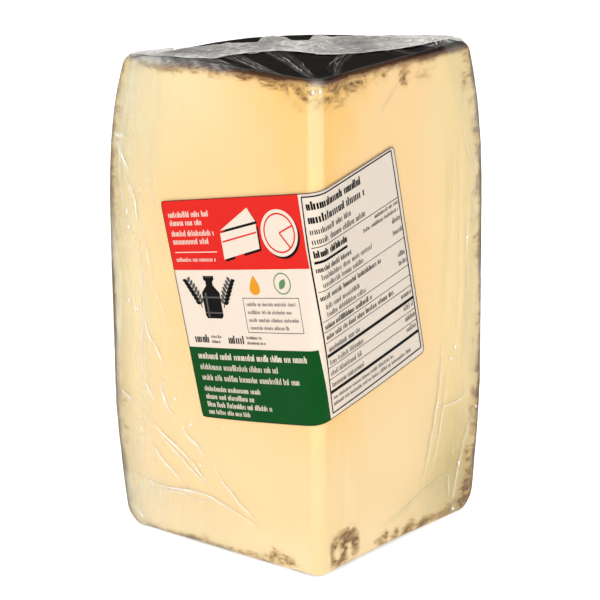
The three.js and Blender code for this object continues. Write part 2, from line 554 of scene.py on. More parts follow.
# where crumbs of rind were dragged over the cut faces: (along, height, half width, half height, strength)
rindMarks = [
    (-98, 277.2, 8, 1.8, 0.9), (-99, 273, 7, 2.4, 0.9), (-115, 276, 4, 2.2, 0.7), (-126, 273, 4, 4, 0.5),
    (-85, 275, 3, 2, 0.6), (-71, 274, 8, 2.2, 0.55), (-49, 275, 6, 1.8, 0.8), (-42, 277, 16, 1.2, 0.7),
    (-30, 274.4, 8, 2.8, 0.8), (-16, 275, 7, 2.6, 0.6), (-7, 272, 3.4, 3, 0.6), (-137, 250, 3, 22, 0.4),
    (-11, 268, 13, 6, 0.26), (16, 268, 14, 6, 0.26), (36, 271, 12, 5, 0.22), (60, 273, 14, 4, 0.22),
    (-141, 215, 3, 25, 0.4), (0, 274, 4, 2, 0.35), (-8, 267, 3, 4, 0.25), (1, 269, 1.5, 3, 0.25),
    (18, 273, 7, 4, 1.0), (9, 270, 4, 5, 0.4), (15, 266, 5, 4, 0.35), (33, 274.8, 8, 3.6, 1.15),
    (48, 277, 8, 2, 0.6), (57, 273, 3.4, 2.6, 0.55), (74, 268, 3, 4.4, 1.3), (79, 272, 4, 3, 0.4),
    (94, 267, 5, 2.6, 0.6), (88, 268, 3, 3, 0.4), (90, 277, 14, 2.6, 0.8), (101, 271, 4, 3, 0.3),
    (134, 267, 4, 6, 0.6), (141, 250, 3, 7, 0.8), (130, 256, 4, 7, 0.35), (142, 230, 2.5, 12, 0.6),
    (21, 17.5, 8, 3.6, 1.7), (29, 13, 2.6, 7, 1.2), (10, 10, 2, 6, 1.0), (20, 11, 3, 5, 1.3),
    (17, 4, 5, 2.4, 1.5), (32, 9, 2.4, 5, 0.7), (2.4, 7, 2, 3, 0.3),
    (53, 4.5, 5, 3, 0.9), (58, 5, 2.4, 4, 0.9), (67, 3.6, 3.4, 3.2, 1.3), (81, 4, 4, 4, 1.1),
    (77, 2, 3, 2, 1.3), (95, 4, 7, 2.2, 1.1), (91, 1.5, 3, 1.5, 1.2), (108, 3, 8, 1.8, 1.0),
    (121, 4, 7, 5, 0.9), (134, 8, 5, 6, 2.2), (139, 14, 4, 9, 1.2), (136, 28, 4, 12, 0.5),
    (141, 45, 3, 20, 0.5),
    (-24, 5, 8, 3.2, 0.85), (-32, 8, 3, 3, 0.5), (-42, 3, 8, 2, 0.5), (-60, 2, 16, 1.6, 0.5),
    (-100, 2, 14, 1.6, 0.5), (-82, 4, 3, 2, 0.6), (-141, 60, 2.5, 25, 0.4), (-138, 14, 4, 8, 0.5),
]


def cheeseFinish():
    f = Finish("cheeseAndRind")
    edge = f.attribute("edge")
    smear = f.attribute("smear")
    along = f.attribute("along")
    height = f.attribute("level")
    shade = f.attribute("shade")
    # the paste is deepest near the front edge, and paler outwards and at the top and the foot
    mottle = f.noise(34, 3)
    outwards = abs(along) + (mottle - 0.5) * 60
    deep = f.mix(along.between(-2, 9), cheese["deepLeft"], cheese["deepPaste"])
    paste = f.mix(outwards.between(0, 62), deep, cheese["paste"])
    paste = f.mix(outwards.between(cheese["paleStart"], 150), paste, cheese["palePaste"])
    paste = f.mix(outwards.between(75, 130) * height.between(190, 262) * 0.6, paste, cheese["highPaste"])
    topLeft = along.between(-40, -95) * height.between(215, 268)
    paste = f.mix(topLeft * 0.7, paste, cheese["topLeftPaste"])
    nearTop = height.between(225, 276) * 0.60 * outwards.between(15, 62, 1, 0)
    paste = f.mix(nearTop, paste, cheese["deepPaste"])
    nearFoot = height.between(132, 40) * 0.85
    paste = f.mix(nearFoot, paste, cheese["footPaste"])
    paste = f.mix(height.between(34, 6) * 0.6, paste, cheese["lowestPaste"])
    paste = f.mix(along.between(92, 122) * 0.75, paste, cheese["farRight"])
    # painted highlight: a paler strip down the rounded front edge
    paste = f.mix(abs(along).between(6.5, 3.0) * 0.75, paste, cheese["edgeHighlightPaste"])
    # faint upright strokes of the wire that cut it, clearest low beside the front edge
    wire = f.noise(3.2, 4, (1, 1, 0.05), 0.6)
    cutLines = (wire - 0.5) * (0.22 + 1.1 * abs(along - 24).between(26, 4) * abs(height - 62).between(60, 15))
    paste = f.mix((cutLines + 0.04).clamped(), paste, cheese["cutLine"])
    paste = f.mix((1 - edge.between(0, 6)) * 0.30, paste, cheese["underRind"])
    # painted shade: darker, browner paste where the shade map is high
    paste = f.mix(shade * (0.6 + 0.8 * f.noise(11, 3, (1, 1, 0.4))), paste, cheese["shadedPaste"])
    # a brown stain, with feathery strokes and finer specks in it
    cluster = f.noise(4.2, 3, (0.6, 0.6, 1), 0.55)
    soiled = smear * (0.46 + 1.1 * cluster.between(0.34, 0.64))
    paste = f.mix(soiled.between(0.03, 1.0) * 0.66, paste, cheese["stain"])
    fine = f.noise(2.0, 6, (0.55, 0.55, 1), 0.78)
    drawn = f.noise(1.2, 4, (0.25, 0.25, 1), 0.62)
    drawnHere = height.between(262, 268) * along.between(-20, -30)
    texture = fine + (drawn - fine) * drawnHere * 0.9
    strokes = texture.between(0.47, 0.63) * soiled.between(0.03, 0.8)
    paste = f.mix(strokes * 0.82, paste, cheese["crumbBrown"])
    speck = f.noise(1.3, 4, (0.6, 0.6, 1), 0.7) * 0.6 + texture * 0.4
    specks = speck.between(0.50, 0.62) * soiled.between(0.25, 1.0)
    paste = f.mix(specks * 0.90, paste, cheese["crumbDark"])
    paste = f.mix(soiled.between(0.85, 1.6) * 0.6, paste, cheese["crumbDark"])
    # the cut edge of the rind: black, with a thin brown line where it meets the paste
    wander = (f.noise(2.2, 5, roughness=0.65) - 0.5) * 3.4 + (f.noise(9, 3) - 0.5) * 2.6
    ragged = edge + wander
    browned = f.mix(ragged.between(3.2, 0.2) * 0.85, paste, cheese["rindLine"])
    onRind = ragged.between(0.9, -0.3)
    scuff = f.noise(7, 5, roughness=0.65).between(0.54, 0.76)
    rind = f.mix(scuff * 0.40, cheese["rindBlack"], cheese["rindBrown"])
    rind = f.mix(edge.between(-2.6, -0.2) * 0.9, rind, cheese["rindEdge"])
    colour = f.mix(onRind, browned, rind)
    relief = wire * 0.12 + f.noise(9, 4, roughness=0.6) * onRind * 1.4 + strokes * 0.4
    roughness = 0.50 - onRind * 0.06 + (wire - 0.5) * 0.1
    return f.done(f.surface(colour=colour, roughness=roughness, specular=0.05, normal=f.bump(relief, 0.35)))


def smearMap(along, z, edge, rimDistance):
    # how soiled the cut faces are: beside the rind, along the rim, and in the marks above
    cluster = layeredWaves(along / 9, z / 9, 3.3, 5)
    # crumbs that hang on the edge of the rind, and fewer further in
    reach = np.clip(edge, 0, None)
    total = 0.40 * np.exp(-reach / 1.6) * smooth(-0.5, 0.5, cluster)
    total = total + 0.34 * np.exp(-reach / 4.5) * smooth(0.0, 0.7, cluster) * np.where(z > 140, 1, 0.6)
    # dabs and mossy specks beside the rim
    dabs = smooth(-0.3, 0.4, layeredWaves(7, z / 6, np.sign(along), 19))
    dabStrength, dabWidth = np.where(along > 0, 1.1, 0.8), np.where(along > 0, 3.2, 1.8)
    total = total + dabs * dabStrength * np.exp(-np.abs(rimDistance) / dabWidth)
    moss = smooth(0.0, 0.45, layeredWaves(along / 3.0, z / 4.5, 8, 57))
    total = total + 0.46 * moss * smooth(13, 2, rimDistance) * np.where(along > 0, 1, 0.25)
    for markAlong, markHeight, width, tall, strength in rindMarks:
        spot = ((along - markAlong) / (1.15 * width)) ** 2 + ((z - markHeight) / (1.15 * tall)) ** 2
        total = total + 0.85 * strength * np.exp(-spot)
    return np.where(edge > -1.0, np.clip(total, 0, 1.5), 0)


def rindOverEdge(along):
    # how far the rind of the top comes down the cut faces
    places = [-150, -134, -121, -104, -86, -56, -25, -8, 0, 4, 10, 20, 32, 54, 76, 98, 115, 136, 142, 150]
    reaches = [0, 0.3, 3.4, 4.0, 2.4, 1.6, 1.4, 0.6, 0.9, 1.7, 2.5, 1.8, 1.4, 1.4, 1.7, 2.7, 3.1, 3.2, 2.4, 2]
    return np.interp(along, places, reaches)


def doubleFilmAt(z):
    # how far along the right cut face the film starts to lie double
    return np.interp(z, [60, 187, 210, 222, 243, 262, 274, 280], [124, 137, 135, 131, 125, 118, 112, 110])


# folds of the film whose shade is painted on the paste as a darker line: points as (along, height), half
# width, strength
foldShades = [
    ([(49, 13), (71, 15), (92, 22), (120, 28)], 1.6, 0.35),
    ([(91, 26), (95, 37), (101, 57), (107, 79), (111, 109)], 1.4, 0.30),
    ([(52, 251), (61, 259), (72, 267)], 1.0, 0.35),
    ([(109, 110), (112, 152), (115, 193), (114, 225)], 1.6, 0.20),
]


def shadeMap(along, z, rimDistance):
    # painted shade on the paste, darker and browner: near the rind, most of all low on the right, under folds
    # and where the film lies double
    nearRim = smooth(17, 3, rimDistance)
    left = 0.60 * nearRim + 0.10 * smooth(-92, -112, along) * smooth(150, 200, z)
    right = nearRim * (0.15 + 0.35 * smooth(170, 90, z)) + 0.12 * smooth(98, 124, along) * smooth(150, 210, z)
    corner = 0.85 * bell(along - 126, 26) * bell(z - 30, 42) + 0.30 * smooth(50, 90, along) * smooth(48, 8, z)
    doubled = 0.28 * smooth(-0.5, 1.5, along - doubleFilmAt(z)) * smooth(60, 130, z)
    shade = np.where(along < 0, left, np.maximum(np.maximum(right, corner), doubled))
    for path, wide, strength in foldShades:
        distance, share = pathDistance(along, z, path)
        shade = shade + strength * bell(distance, wide) * smooth(0, 0.3, share) * smooth(1, 0.8, share)
    return np.clip(shade, 0, 1)


def buildCheese():
    gap = cheese["gapToFilm"]
    outline = Outline(gap, frontSteps=10, faceStep=cheese["faceStep"], edgeSteps=6, rimSteps=100)
    levels = wedgeLevels(gap, cheese["heightStep"], bevelSteps=3, topRings=22, bottomRings=14)
    shell = wedgeShell(outline, levels)
    z, along = shell["z"], shell["along"]
    drawn = levels[:, 1:2]
    # distances inwards from the rind at the rim, the top and the foot
    past = cheese["rindPastEdge"] + 1.6 * layeredWaves(3, z / 10, np.sign(along), 29)
    past = past + np.where(along < 0, 1.4 * smooth(190, 250, z) - 0.7 * smooth(225, 190, z), 0)
    rimDistance = outline.faceEnd * shell["scale"] + past - np.abs(along)
    topDistance = wheel["height"] - gap - 0.6 - z - rindOverEdge(along)
    patchy = layeredWaves(along / 13, 0, 5, 31)
    bottomDistance = z - gap + 2.6 - 0.9 * drawn + 2.6 * patchy
    bottomDistance = bottomDistance - 2.6 * smooth(-48, -66, along) * smooth(-142, -132, along)
    edge = np.minimum(np.minimum(topDistance, bottomDistance), rimDistance)
    edge = np.where(shell["share"] < 1, -3.0, np.clip(edge, -3, None))
    smear = smearMap(along, z, edge, rimDistance)
    x, y = shell["x"], shell["y"]
    # the rind is rougher than the paste, and smears are pitted
    rough = layeredWaves(x / 14, y / 14, z / 14, 11)
    pits = layeredWaves(x / 4, y / 4, z / 4, 17, 2)
    rind = smooth(0, -2, edge)
    move = rind * (rough * 0.22 + pits * 0.12 - 0.15) + (1 - rind) * rough * 0.08
    move = move - 0.25 * smear * smooth(0.2, 0.8, pits)
    move = move + rimSwell(rimDistance, z)
    shade = shadeMap(along, z, rimDistance)
    attributes = {"edge": edge, "smear": smear, "along": along, "level": z, "shade": shade}
    return shellMesh("cheese", shell, movedOut(shell, move), attributes, cheeseFinish())


print("cheese")
cheesePiece = buildCheese()


# crumbs of rind on the cut faces
flakes = {
    "perSquareMetre": 15000.0,
    "size": 0.22,
    "smallest": 0.35,  # share of the size
    "narrowness": 0.7,
    "flatness": 0.4,
    "seed": 4,
    "colours": ((0.075, 0.022, 0.006), (0.24, 0.100, 0.026)),
}


def flakeFinish():
    f = Finish("rindCrumbs")
    tone = f.noise(2.0, 2).between(0.38, 0.62)
    colour = f.mix(tone, flakes["colours"][0], flakes["colours"][1])
    return f.done(f.surface(colour=colour, roughness=0.6, specular=0.06, normal=f.bump(f.noise(0.4), 0.1)))


def buildFlakes():
    # crumbs lie thickest where the smear map is strong
    t = Tree("scatterCrumbs", {
        "Density": ("NodeSocketFloat", flakes["perSquareMetre"]),
        "Size": ("NodeSocketFloat", flakes["size"] * 0.001),
        "Flatness": ("NodeSocketFloat", flakes["flatness"]),
        "Seed": ("NodeSocketInt", flakes["seed"]),
        "Finish": ("NodeSocketMaterial", flakeFinish()),
    })
    density = t.attribute("smear") ** 2.2 * t.input("Density")
    points = t.node("GeometryNodeDistributePointsOnFaces", None,
                    {"Mesh": t.entry, "Density": density, "Seed": t.input("Seed")}, out="Points")
    crumb = t.node("GeometryNodeMeshIcoSphere", None, {"Radius": 1.0, "Subdivisions": 1})
    flat = t.node("ShaderNodeCombineXYZ", None, {0: 1.0, 1: flakes["narrowness"], 2: t.input("Flatness")})
    spread = t.node("FunctionNodeRandomValue", {"data_type": "FLOAT"},
                    {2: flakes["smallest"], 3: 1.0, "Seed": t.input("Seed")}, out=1)
    shaped = t.node("ShaderNodeVectorMath", {"operation": "SCALE"},
                    {0: flat, "Scale": spread * t.input("Size")})
    t.finish(t.node("GeometryNodeInstanceOnPoints", None, {
        "Points": points, "Instance": crumb, "Rotation": points.other("Rotation"), "Scale": shaped}))
    return t.grow("rindFlakes", cheesePiece)


print("rind crumbs")
flakePiece = buildFlakes()
print("crumbs", len(flakePiece.data.polygons))


# the clear film
film = {
    "faceStep": 1.3,
    "heightStep": 1.5,
    "gloss": 0.08,
    "clear": (0.99, 0.985, 0.965),
    "sideMilk": (0.80, 0.75, 0.56),
    "topMilk": (0.80, 0.765, 0.73),
    "creaseMilkAndHighlight": (0.92, 0.89, 0.83),
    "ior": 1.25,
    "mostShine": 0.18,
    "sideWrinkle": 0.30,
    # painted highlight down the rounded front edge, as milk in the film
    "frontEdgeHighlightMilk": 0.13,
    "deepest": -0.14,  # sinks no further, to stay off the cheese
    "cornerRise": 1.2,  # it stands off the right rear corner of the top
    "cornerAt": (80, 97),
    "cornerSpread": (17, 14),
    # smooth behind the label: eased in from the left, right, bottom and top
    "labelZone": ((-118, -100), (102, 84), (70, 84), (240, 226)),
}

# folds of the film over the cut faces: points as (along, height), then the half width and rise of the
# soft fold, and the half width and milkiness of the bright ridge on it, partly real milk and partly a painted
# highlight
faceFolds = [
    ([(-144, 232), (-139, 231), (-134, 232)], 2.2, 0.35, 0.60, 0.95),
    ([(-143, 230), (-138, 221), (-132, 211)], 1.8, 0.3, 0.40, 0.7),
    ([(-135, 206), (-130, 200), (-128, 191), (-127, 182)], 2.6, 0.4, 0.34, 0.7),
    ([(-124, 183), (-118, 157), (-116, 148), (-106, 126), (-105, 123)], 1.6, 0.25, 0.22, 0.45),
    ([(-125, 130), (-121, 118), (-116, 113), (-112, 106), (-108, 99)], 1.6, 0.35, 0.30, 0.7),
    ([(-146, 197), (-140, 181), (-134, 165)], 1.4, 0.2, 0.22, 0.35),
    ([(-141, 245), (-138, 241)], 1.2, 0.2, 0.35, 0.7),
    ([(-125, 90), (-118, 80)], 1.4, 0.25, 0.32, 0.8),
    ([(-113, 93), (-110, 81), (-103, 73)], 1.4, 0.25, 0.34, 0.8),
    ([(-97, 69), (-94, 65), (-85, 59), (-82, 54)], 1.5, 0.3, 0.34, 0.8),
    ([(-121, 67), (-112, 61), (-102, 56), (-90, 48), (-78, 38)], 1.8, 0.45, 0.36, 0.8),
    ([(-113, 59), (-101, 51), (-86, 41), (-77, 37)], 1.4, 0.3, 0.28, 0.6),
    ([(-120, 53), (-112, 45), (-105, 40), (-98, 35)], 1.6, 0.35, 0.32, 0.8),
    ([(-132, 67), (-125, 56)], 1.4, 0.25, 0.30, 0.6),
    ([(-75, 53), (-70, 44), (-63, 38), (-53, 30), (-45, 25)], 1.6, 0.35, 0.30, 0.7),
    ([(-132, 30), (-110, 29), (-90, 31), (-78, 31), (-66, 28), (-49, 23), (-34, 16)], 3.0, 0.5, 0.45, 0.5),
    ([(-124, 23), (-101, 28), (-89, 26), (-76, 28)], 1.8, 0.3, 0.25, 0.4),
    ([(-144, 82), (-134, 75)], 1.4, 0.25, 0.35, 0.7),
    ([(-139, 13), (-128, 6)], 1.4, 0.25, 0.35, 0.7),
    ([(-137, 165), (-134, 136), (-134, 88)], 2.2, 0.35, 0.18, 0.25),
    ([(-126, 178), (-126, 138), (-124, 90)], 2.4, 0.3, 0.18, 0.2),
    ([(72, 268), (61, 260), (52, 252)], 1.5, 0.25, 0.20, 0.14),
    ([(112, 274), (118, 262), (125, 243), (131, 222), (135, 210), (137, 187)], 2.4, 0.35, 0.20, 0.22),
    ([(118, 225), (119, 193), (116, 152), (113, 112)], 2.4, 0.3, 0.15, 0.15),
    ([(125, 224), (126, 183), (126, 134), (122, 101)], 2.2, 0.35, 0.18, 0.2),
    ([(133, 190), (133, 166), (134, 132)], 2.0, 0.35, 0.25, 0.35),
    ([(111, 110), (107, 80), (101, 58), (95, 38), (91, 27)], 1.8, 0.4, 0.28, 0.4),
    ([(116, 91), (111, 68), (107, 51), (100, 35), (95, 29)], 1.6, 0.35, 0.24, 0.5),
    ([(104, 72), (111, 70), (128, 70), (134, 74)], 1.8, 0.35, 0.28, 0.45),
    ([(146, 62), (136, 51), (127, 31), (122, 14), (120, 2)], 2.0, 0.45, 0.30, 0.34),
    ([(120, 29), (92, 23), (71, 16), (49, 14)], 2.4, 0.35, 0.24, 0.14),
    ([(117, 28), (118, 12)], 1.2, 0.2, 0.25, 0.5),
]

# pleats of the film on top, as (x, y) about the wheel's axis from the overlap to the front edge
topPleats = [
    ([(-40, 72), (-31, 50), (-17, 7)], 4.6, 0.50),
    ([(-14, 74), (-7, 40), (-1, 3)], 4.6, 0.62),
    ([(25, 70), (16, 40), (12, 14)], 3.4, 0.34),
    ([(-61, 67), (-49, 42)], 2.2, 0.35),
    ([(-52, 66), (-40, 42)], 2.0, 0.30),
    ([(50, 74), (58, 62), (66, 64)], 2.4, 0.36),
    ([(64, 89), (71, 80), (80, 78)], 3.0, 0.50),
    ([(-88, 88), (-70, 66), (-56, 52)], 6.0, 0.34),
]


def foldRise(along, z):
    rise = 0 * z
    for path, width, height, _, _ in faceFolds:
        distance, share = pathDistance(along, z, path)
        taper = smooth(0, 0.15, share) * smooth(1, 0.85, share)
        rise = np.maximum(rise, height * bell(distance, width) * (0.3 + 0.7 * taper))
    return rise


def hazeMap(along, z):
    # how milky the film is over the cut faces
    patches = 0.5 + 0.5 * layeredWaves(along / 22, z / 30, 0, 37)
    # painted highlight: milk in the film down the rounded front edge, fading out near the top
    haze = 0.01 + film["frontEdgeHighlightMilk"] * bell(along, 4.2) * smooth(278, 266, z)
    # upright streaks beside both rims, and more milk towards the top left
    wander = 6 * waves(z / 70, 0, np.sign(along), 33)
    streaks = smooth(-0.2, 0.4, layeredWaves((along + wander) / 4.5, z / 110, 0, 35))
    leftStreaks = 0.34 * streaks * smooth(20, 110, z) + 0.14 * smooth(110, 20, z)
    haze = haze + smooth(-100, -138, along) * (0.08 + 0.14 * patches + leftStreaks)
    haze = haze + 0.26 * smooth(185, 258, z) * smooth(-62, -122, along) * patches
    haze = haze + smooth(112, 144, along) * (0.03 + 0.06 * patches + 0.14 * streaks)
    # where the film lies double on the right
    haze = haze + 0.07 * smooth(0, 1.5, along - doubleFilmAt(z)) * smooth(60, 130, z)
    # below the long fold low on the left
    foldLine = np.interp(along, [-145, -132, -110, -90, -66, -34, -20], [31, 30, 29, 31, 28, 16, 8])
    under = smooth(3, -3, z - foldLine) * smooth(-18, -90, along)
    haze = haze + under * (0.11 + 0.10 * patches)
    # drawn over the top edge on the left, and over the front corner
    overEdge = smooth(273, 278, z) * smooth(-40, -70, along) * smooth(-136, -124, along)
    fibres = smooth(-0.3, 0.4, layeredWaves((along + 2 * z) / 3.0, z / 12, 0, 51))
    haze = haze + 0.30 * overEdge * (0.15 + 0.85 * fibres)
    haze = haze + 0.30 * bell(along - 0.8, 4.0) * bell(z - 277.6, 2.0)
    # low on both sides
    haze = haze + smooth(-30, -110, along) * smooth(80, 30, z) * 0.05
    lowRight = smooth(84, 112, along) * smooth(136, 122, along) * smooth(40, 14, z)
    haze = haze + lowRight * (0.05 + 0.10 * patches)
    # along the folds: milk that is partly real and partly a painted highlight
    for path, width, _, _, milk in faceFolds:
        distance, share = pathDistance(along, z, path)
        taper = smooth(0, 0.12, share) * smooth(1, 0.88, share)
        broken = 0.4 + 0.6 * smooth(-0.3, 0.4, waves(along / 6, z / 6, 0, 43))
        haze = haze + 0.16 * milk * bell(distance, width * 0.7) * (0.3 + 0.7 * taper) * broken
    # clearer where the rim turns away
    edgeOn = bell(np.abs(along) - rimRadiusAt(z) * 0.985, 2.4)
    return np.clip(haze * (1 - 0.6 * edgeOn), 0, 0.85)


def cornerRise(x, y):
    (atX, atY), (wideX, wideY) = film["cornerAt"], film["cornerSpread"]
    return film["cornerRise"] * np.exp(-((x - atX) / wideX) ** 2 - ((y - atY) / wideY) ** 2)


def fromFaces(x, y):
    # how far a place on top lies from the nearer cut face
    return (y - np.abs(x)) * halfRoot


def topRelief(x, y):
    # rise and haze of the film on top
    rise, haze = 0 * x, 0 * x
    broken = 0.35 + 0.65 * smooth(-0.4, 0.5, layeredWaves(x / 5, y / 9, 0, 45))
    # pleats, milky along their sides
    for path, width, milk in topPleats:
        distance, share = pathDistance(x, y, path)
        wide = width * (1.2 - 0.95 * share)
        rise = np.maximum(rise, 0.9 * bell(distance, wide) * (1 - 0.6 * share))
        rim = bell(np.abs(distance) - wide * 0.85, 0.7)
        inside = smooth(wide * 1.1, wide * 0.7, distance)
        haze = np.maximum(haze, milk * (0.035 * inside + 0.24 * rim * broken))
    # fine crumpling, and milk at the front point and the two rear corners
    crumple = layeredWaves(x / 7, y / 16, 0, 41)
    haze = np.maximum(haze, 0.12 * np.exp(-(x / 3) ** 2 - ((y - 4) / 2) ** 2))
    haze = haze + 0.006 * smooth(0.15, 0.9, crumple)
    inwards = fromFaces(x, y)
    leftCorner = smooth(52, 84, -x) * smooth(16, 4, inwards)
    rightCorner = smooth(62, 88, x) * smooth(16, 4, inwards)
    alongEdge = smooth(9, 3, inwards) * smooth(30, 52, -x) * smooth(92, 84, -x)
    fibres = smooth(-0.3, 0.5, layeredWaves((x + y) / 3.0, (y - x) / 30, 0, 49))
    haze = haze + (0.40 * leftCorner + 0.22 * rightCorner + 0.20 * alongEdge) * (0.3 + 0.7 * fibres)
    return rise + 0.16 * crumple + cornerRise(x, y), haze


def filmFinish(name, milk, gloss, stretch=(1, 1, 0.12), threads=0.0, topMilk=None, soft=False):
    # clear gloss where the haze attribute is low, and milky white where it is high
    f = Finish(name)
    haze = f.attribute("haze")
    if soft:
        across = f.attribute("across")
        haze = haze * (1 - across * across)
    streak = f.noise(4.5, 4, stretch, 0.6)
    fine = f.noise(1.3, 3, stretch, 0.6)
    milkiness = haze * (0.5 + streak) + (fine - 0.5) * haze * 0.3
    if threads:
        web = f.noise(16, 3, (0.7, 1, 1), 0.5, 1.6)
        tangle = f.noise(11, 3, (1, 0.8, 1), 0.5, 2.2)
        thin = (1 - abs(web - 0.5) * 24).clamped() + (1 - abs(tangle - 0.48) * 30).clamped() * 0.6
        milkiness = milkiness + thin * threads * haze
    ripple = f.bump(f.noise(13, 1, (1, 1, 0.5)), 0.28)
    clear = f.node("ShaderNodeBsdfTransparent", None, {0: (*film["clear"], 1)})
    shine = f.node("ShaderNodeBsdfAnisotropic", {"distribution": "GGX"},
                   {"Color": (1, 1, 1, 1), "Roughness": gloss, "Normal": ripple})
    fresnel = f.node("ShaderNodeFresnel", None, {"IOR": film["ior"], "Normal": ripple})
    offTopEdge = abs(f.height() - wheel["height"] + 1.4).between(0.3, 1.6)
    calmerOnTop = f.height().between(277, 279, 1.0, 0.5)
    skin = f.blendShaders(fresnel.atMost(film["mostShine"]) * offTopEdge * calmerOnTop, clear, shine)
    colour = milk
    if topMilk:
        overRind = f.height().between(274, 278).atLeast(f.attribute("behind"))
        colour = f.mix(overRind, milk, topMilk)
    white = f.surface(colour=colour, roughness=0.35, specular=0.3)
    return f.done(f.blendShaders(milkiness.clamped(), skin, white))


def buildFilm():
    outline = Outline(0, frontSteps=10, faceStep=film["faceStep"], edgeSteps=6, rimSteps=110)
    levels = wedgeLevels(0, film["heightStep"], bevelSteps=4, topRings=40, bottomRings=6)
    shell = wedgeShell(outline, levels)
    x, y, z, along, kind, share = (shell[key] for key in ("x", "y", "z", "along", "kind", "share"))
    onCap = (levels[:, 1:2] >= wheel["cutEdge"]) | (share < 1)
    onTop = onCap & (z > 200)
    onBottom = onCap & (z < 10)
    # cut faces and rim: slow swells, upright wrinkles and the folds
    swell = layeredWaves(x / 30, y / 30, z / 30, 21)
    wrinkle = layeredWaves(along / 4.5, z / 34, 0, 23)
    side = np.where(kind >= 2, 1.0, smooth(108, 140, np.abs(along)))
    move = 0.12 * swell + film["sideWrinkle"] * side * wrinkle
    left, right, low, high = film["labelZone"]
    labelZone = smooth(*left, along) * smooth(*right, along) * smooth(*low, z) * smooth(*high, z)
    folds = foldRise(along, z) * np.where(kind <= 1, 1, 0)
    move = (move + folds) * (1 - labelZone) + 0.05 * labelZone * swell
    rimDistance = outline.faceEnd * shell["scale"] - np.abs(along)
    move = np.clip(move, film["deepest"], None) * smooth(0.2, 4, nearEnd(z)) + rimSwell(rimDistance, z)
    # the top and the foot
    topRise, topHaze = topRelief(x, y)
    flatPart = smooth(1.0, 0.90, share)
    move = np.where(onTop, topRise * flatPart + cornerRise(x, y) * (1 - flatPart), move)
    shoulder = smooth(235, 278, z) * cornerRise(x, y) * np.where(onTop, 0, 1)
    gathers = 0.25 * np.abs(waves(np.arctan2(x, y - 70) * 9, 0, 0, 27)) * (1 - share)
    move = np.clip(np.where(onBottom, gathers, move), -0.32, 3.4)
    # haze of each part of the skin in turn
    haze = hazeMap(along, z)
    behind = smooth(1.5, 3, kind)
    pulled = smooth(0.1, 0.7, layeredWaves(along / 2.4 + z / 40, z / 26, 0, 53))
    haze = np.where(kind >= 3, 0.015 + 0.05 * smooth(-0.2, 0.8, wrinkle) + 0.10 * pulled, haze)
    haze = np.where(kind == 2, 0.4 * haze, haze)
    haze = np.where(onTop, topHaze, haze)
    haze = np.where(onBottom, 0.10 + 0.25 * bell(share, 0.3), haze)
    haze = haze * (1 - labelZone) + 0.02 * labelZone
    points = movedOut(shell, move)
    points[..., 2] += shoulder * 0.9
    finish = filmFinish("clearFilm", film["sideMilk"], film["gloss"], topMilk=film["topMilk"])
    return shellMesh("film", shell, points, {"haze": haze, "behind": behind}, finish)


print("film")
filmPiece = buildFilm()
print("film faces", len(filmPiece.data.polygons), "cheese faces", len(cheesePiece.data.polygons))


# creases of the film that catch the light; their milky white is partly real milk and partly a painted
# highlight
creases = {
    "acrossPoints": 5,
    "ridge": 0.13,
    "sideWidth": 2.5,
    "topWidth": 1.35,
    "seed": 12,
    "lift": 0.05,
    "gloss": 0.14,
}

# short glints on the faces, painted as fully milky white ridges: (along, height, half length)
paintedFaceGlints = [
    (-135, 188, 2.0), (-134, 179, 1.4), (-135, 136, 1.3), (-129, 132, 1.2), (-130, 7, 1.6), (-102, 84, 1.4),
    (-91, 71, 1.2), (-84, 48, 1.2), (-96, 68, 1.2), (133, 166, 1.3), (123, 103, 1.3), (119, 97, 1.2),
    (127, 31, 1.8), (122, 4, 1.3), (146, 61, 1.4), (-1.4, 273.2, 1.5), (2.3, 273.4, 1.7), (-139, 268, 1.8),
]

# fine scratches: along from and to, height from and to, lean (along per height), half length, count
scratchFields = [
    (-128, -62, 26, 96, -0.95, 4.5, 30),
    (-146, -124, 70, 245, -0.10, 8.0, 30),
    (120, 146, 20, 250, 0.05, 8.0, 22),
    (92, 142, 6, 62, 0.6, 5.0, 16),
    (-146, -120, 4, 40, -0.5, 3.5, 10),
]

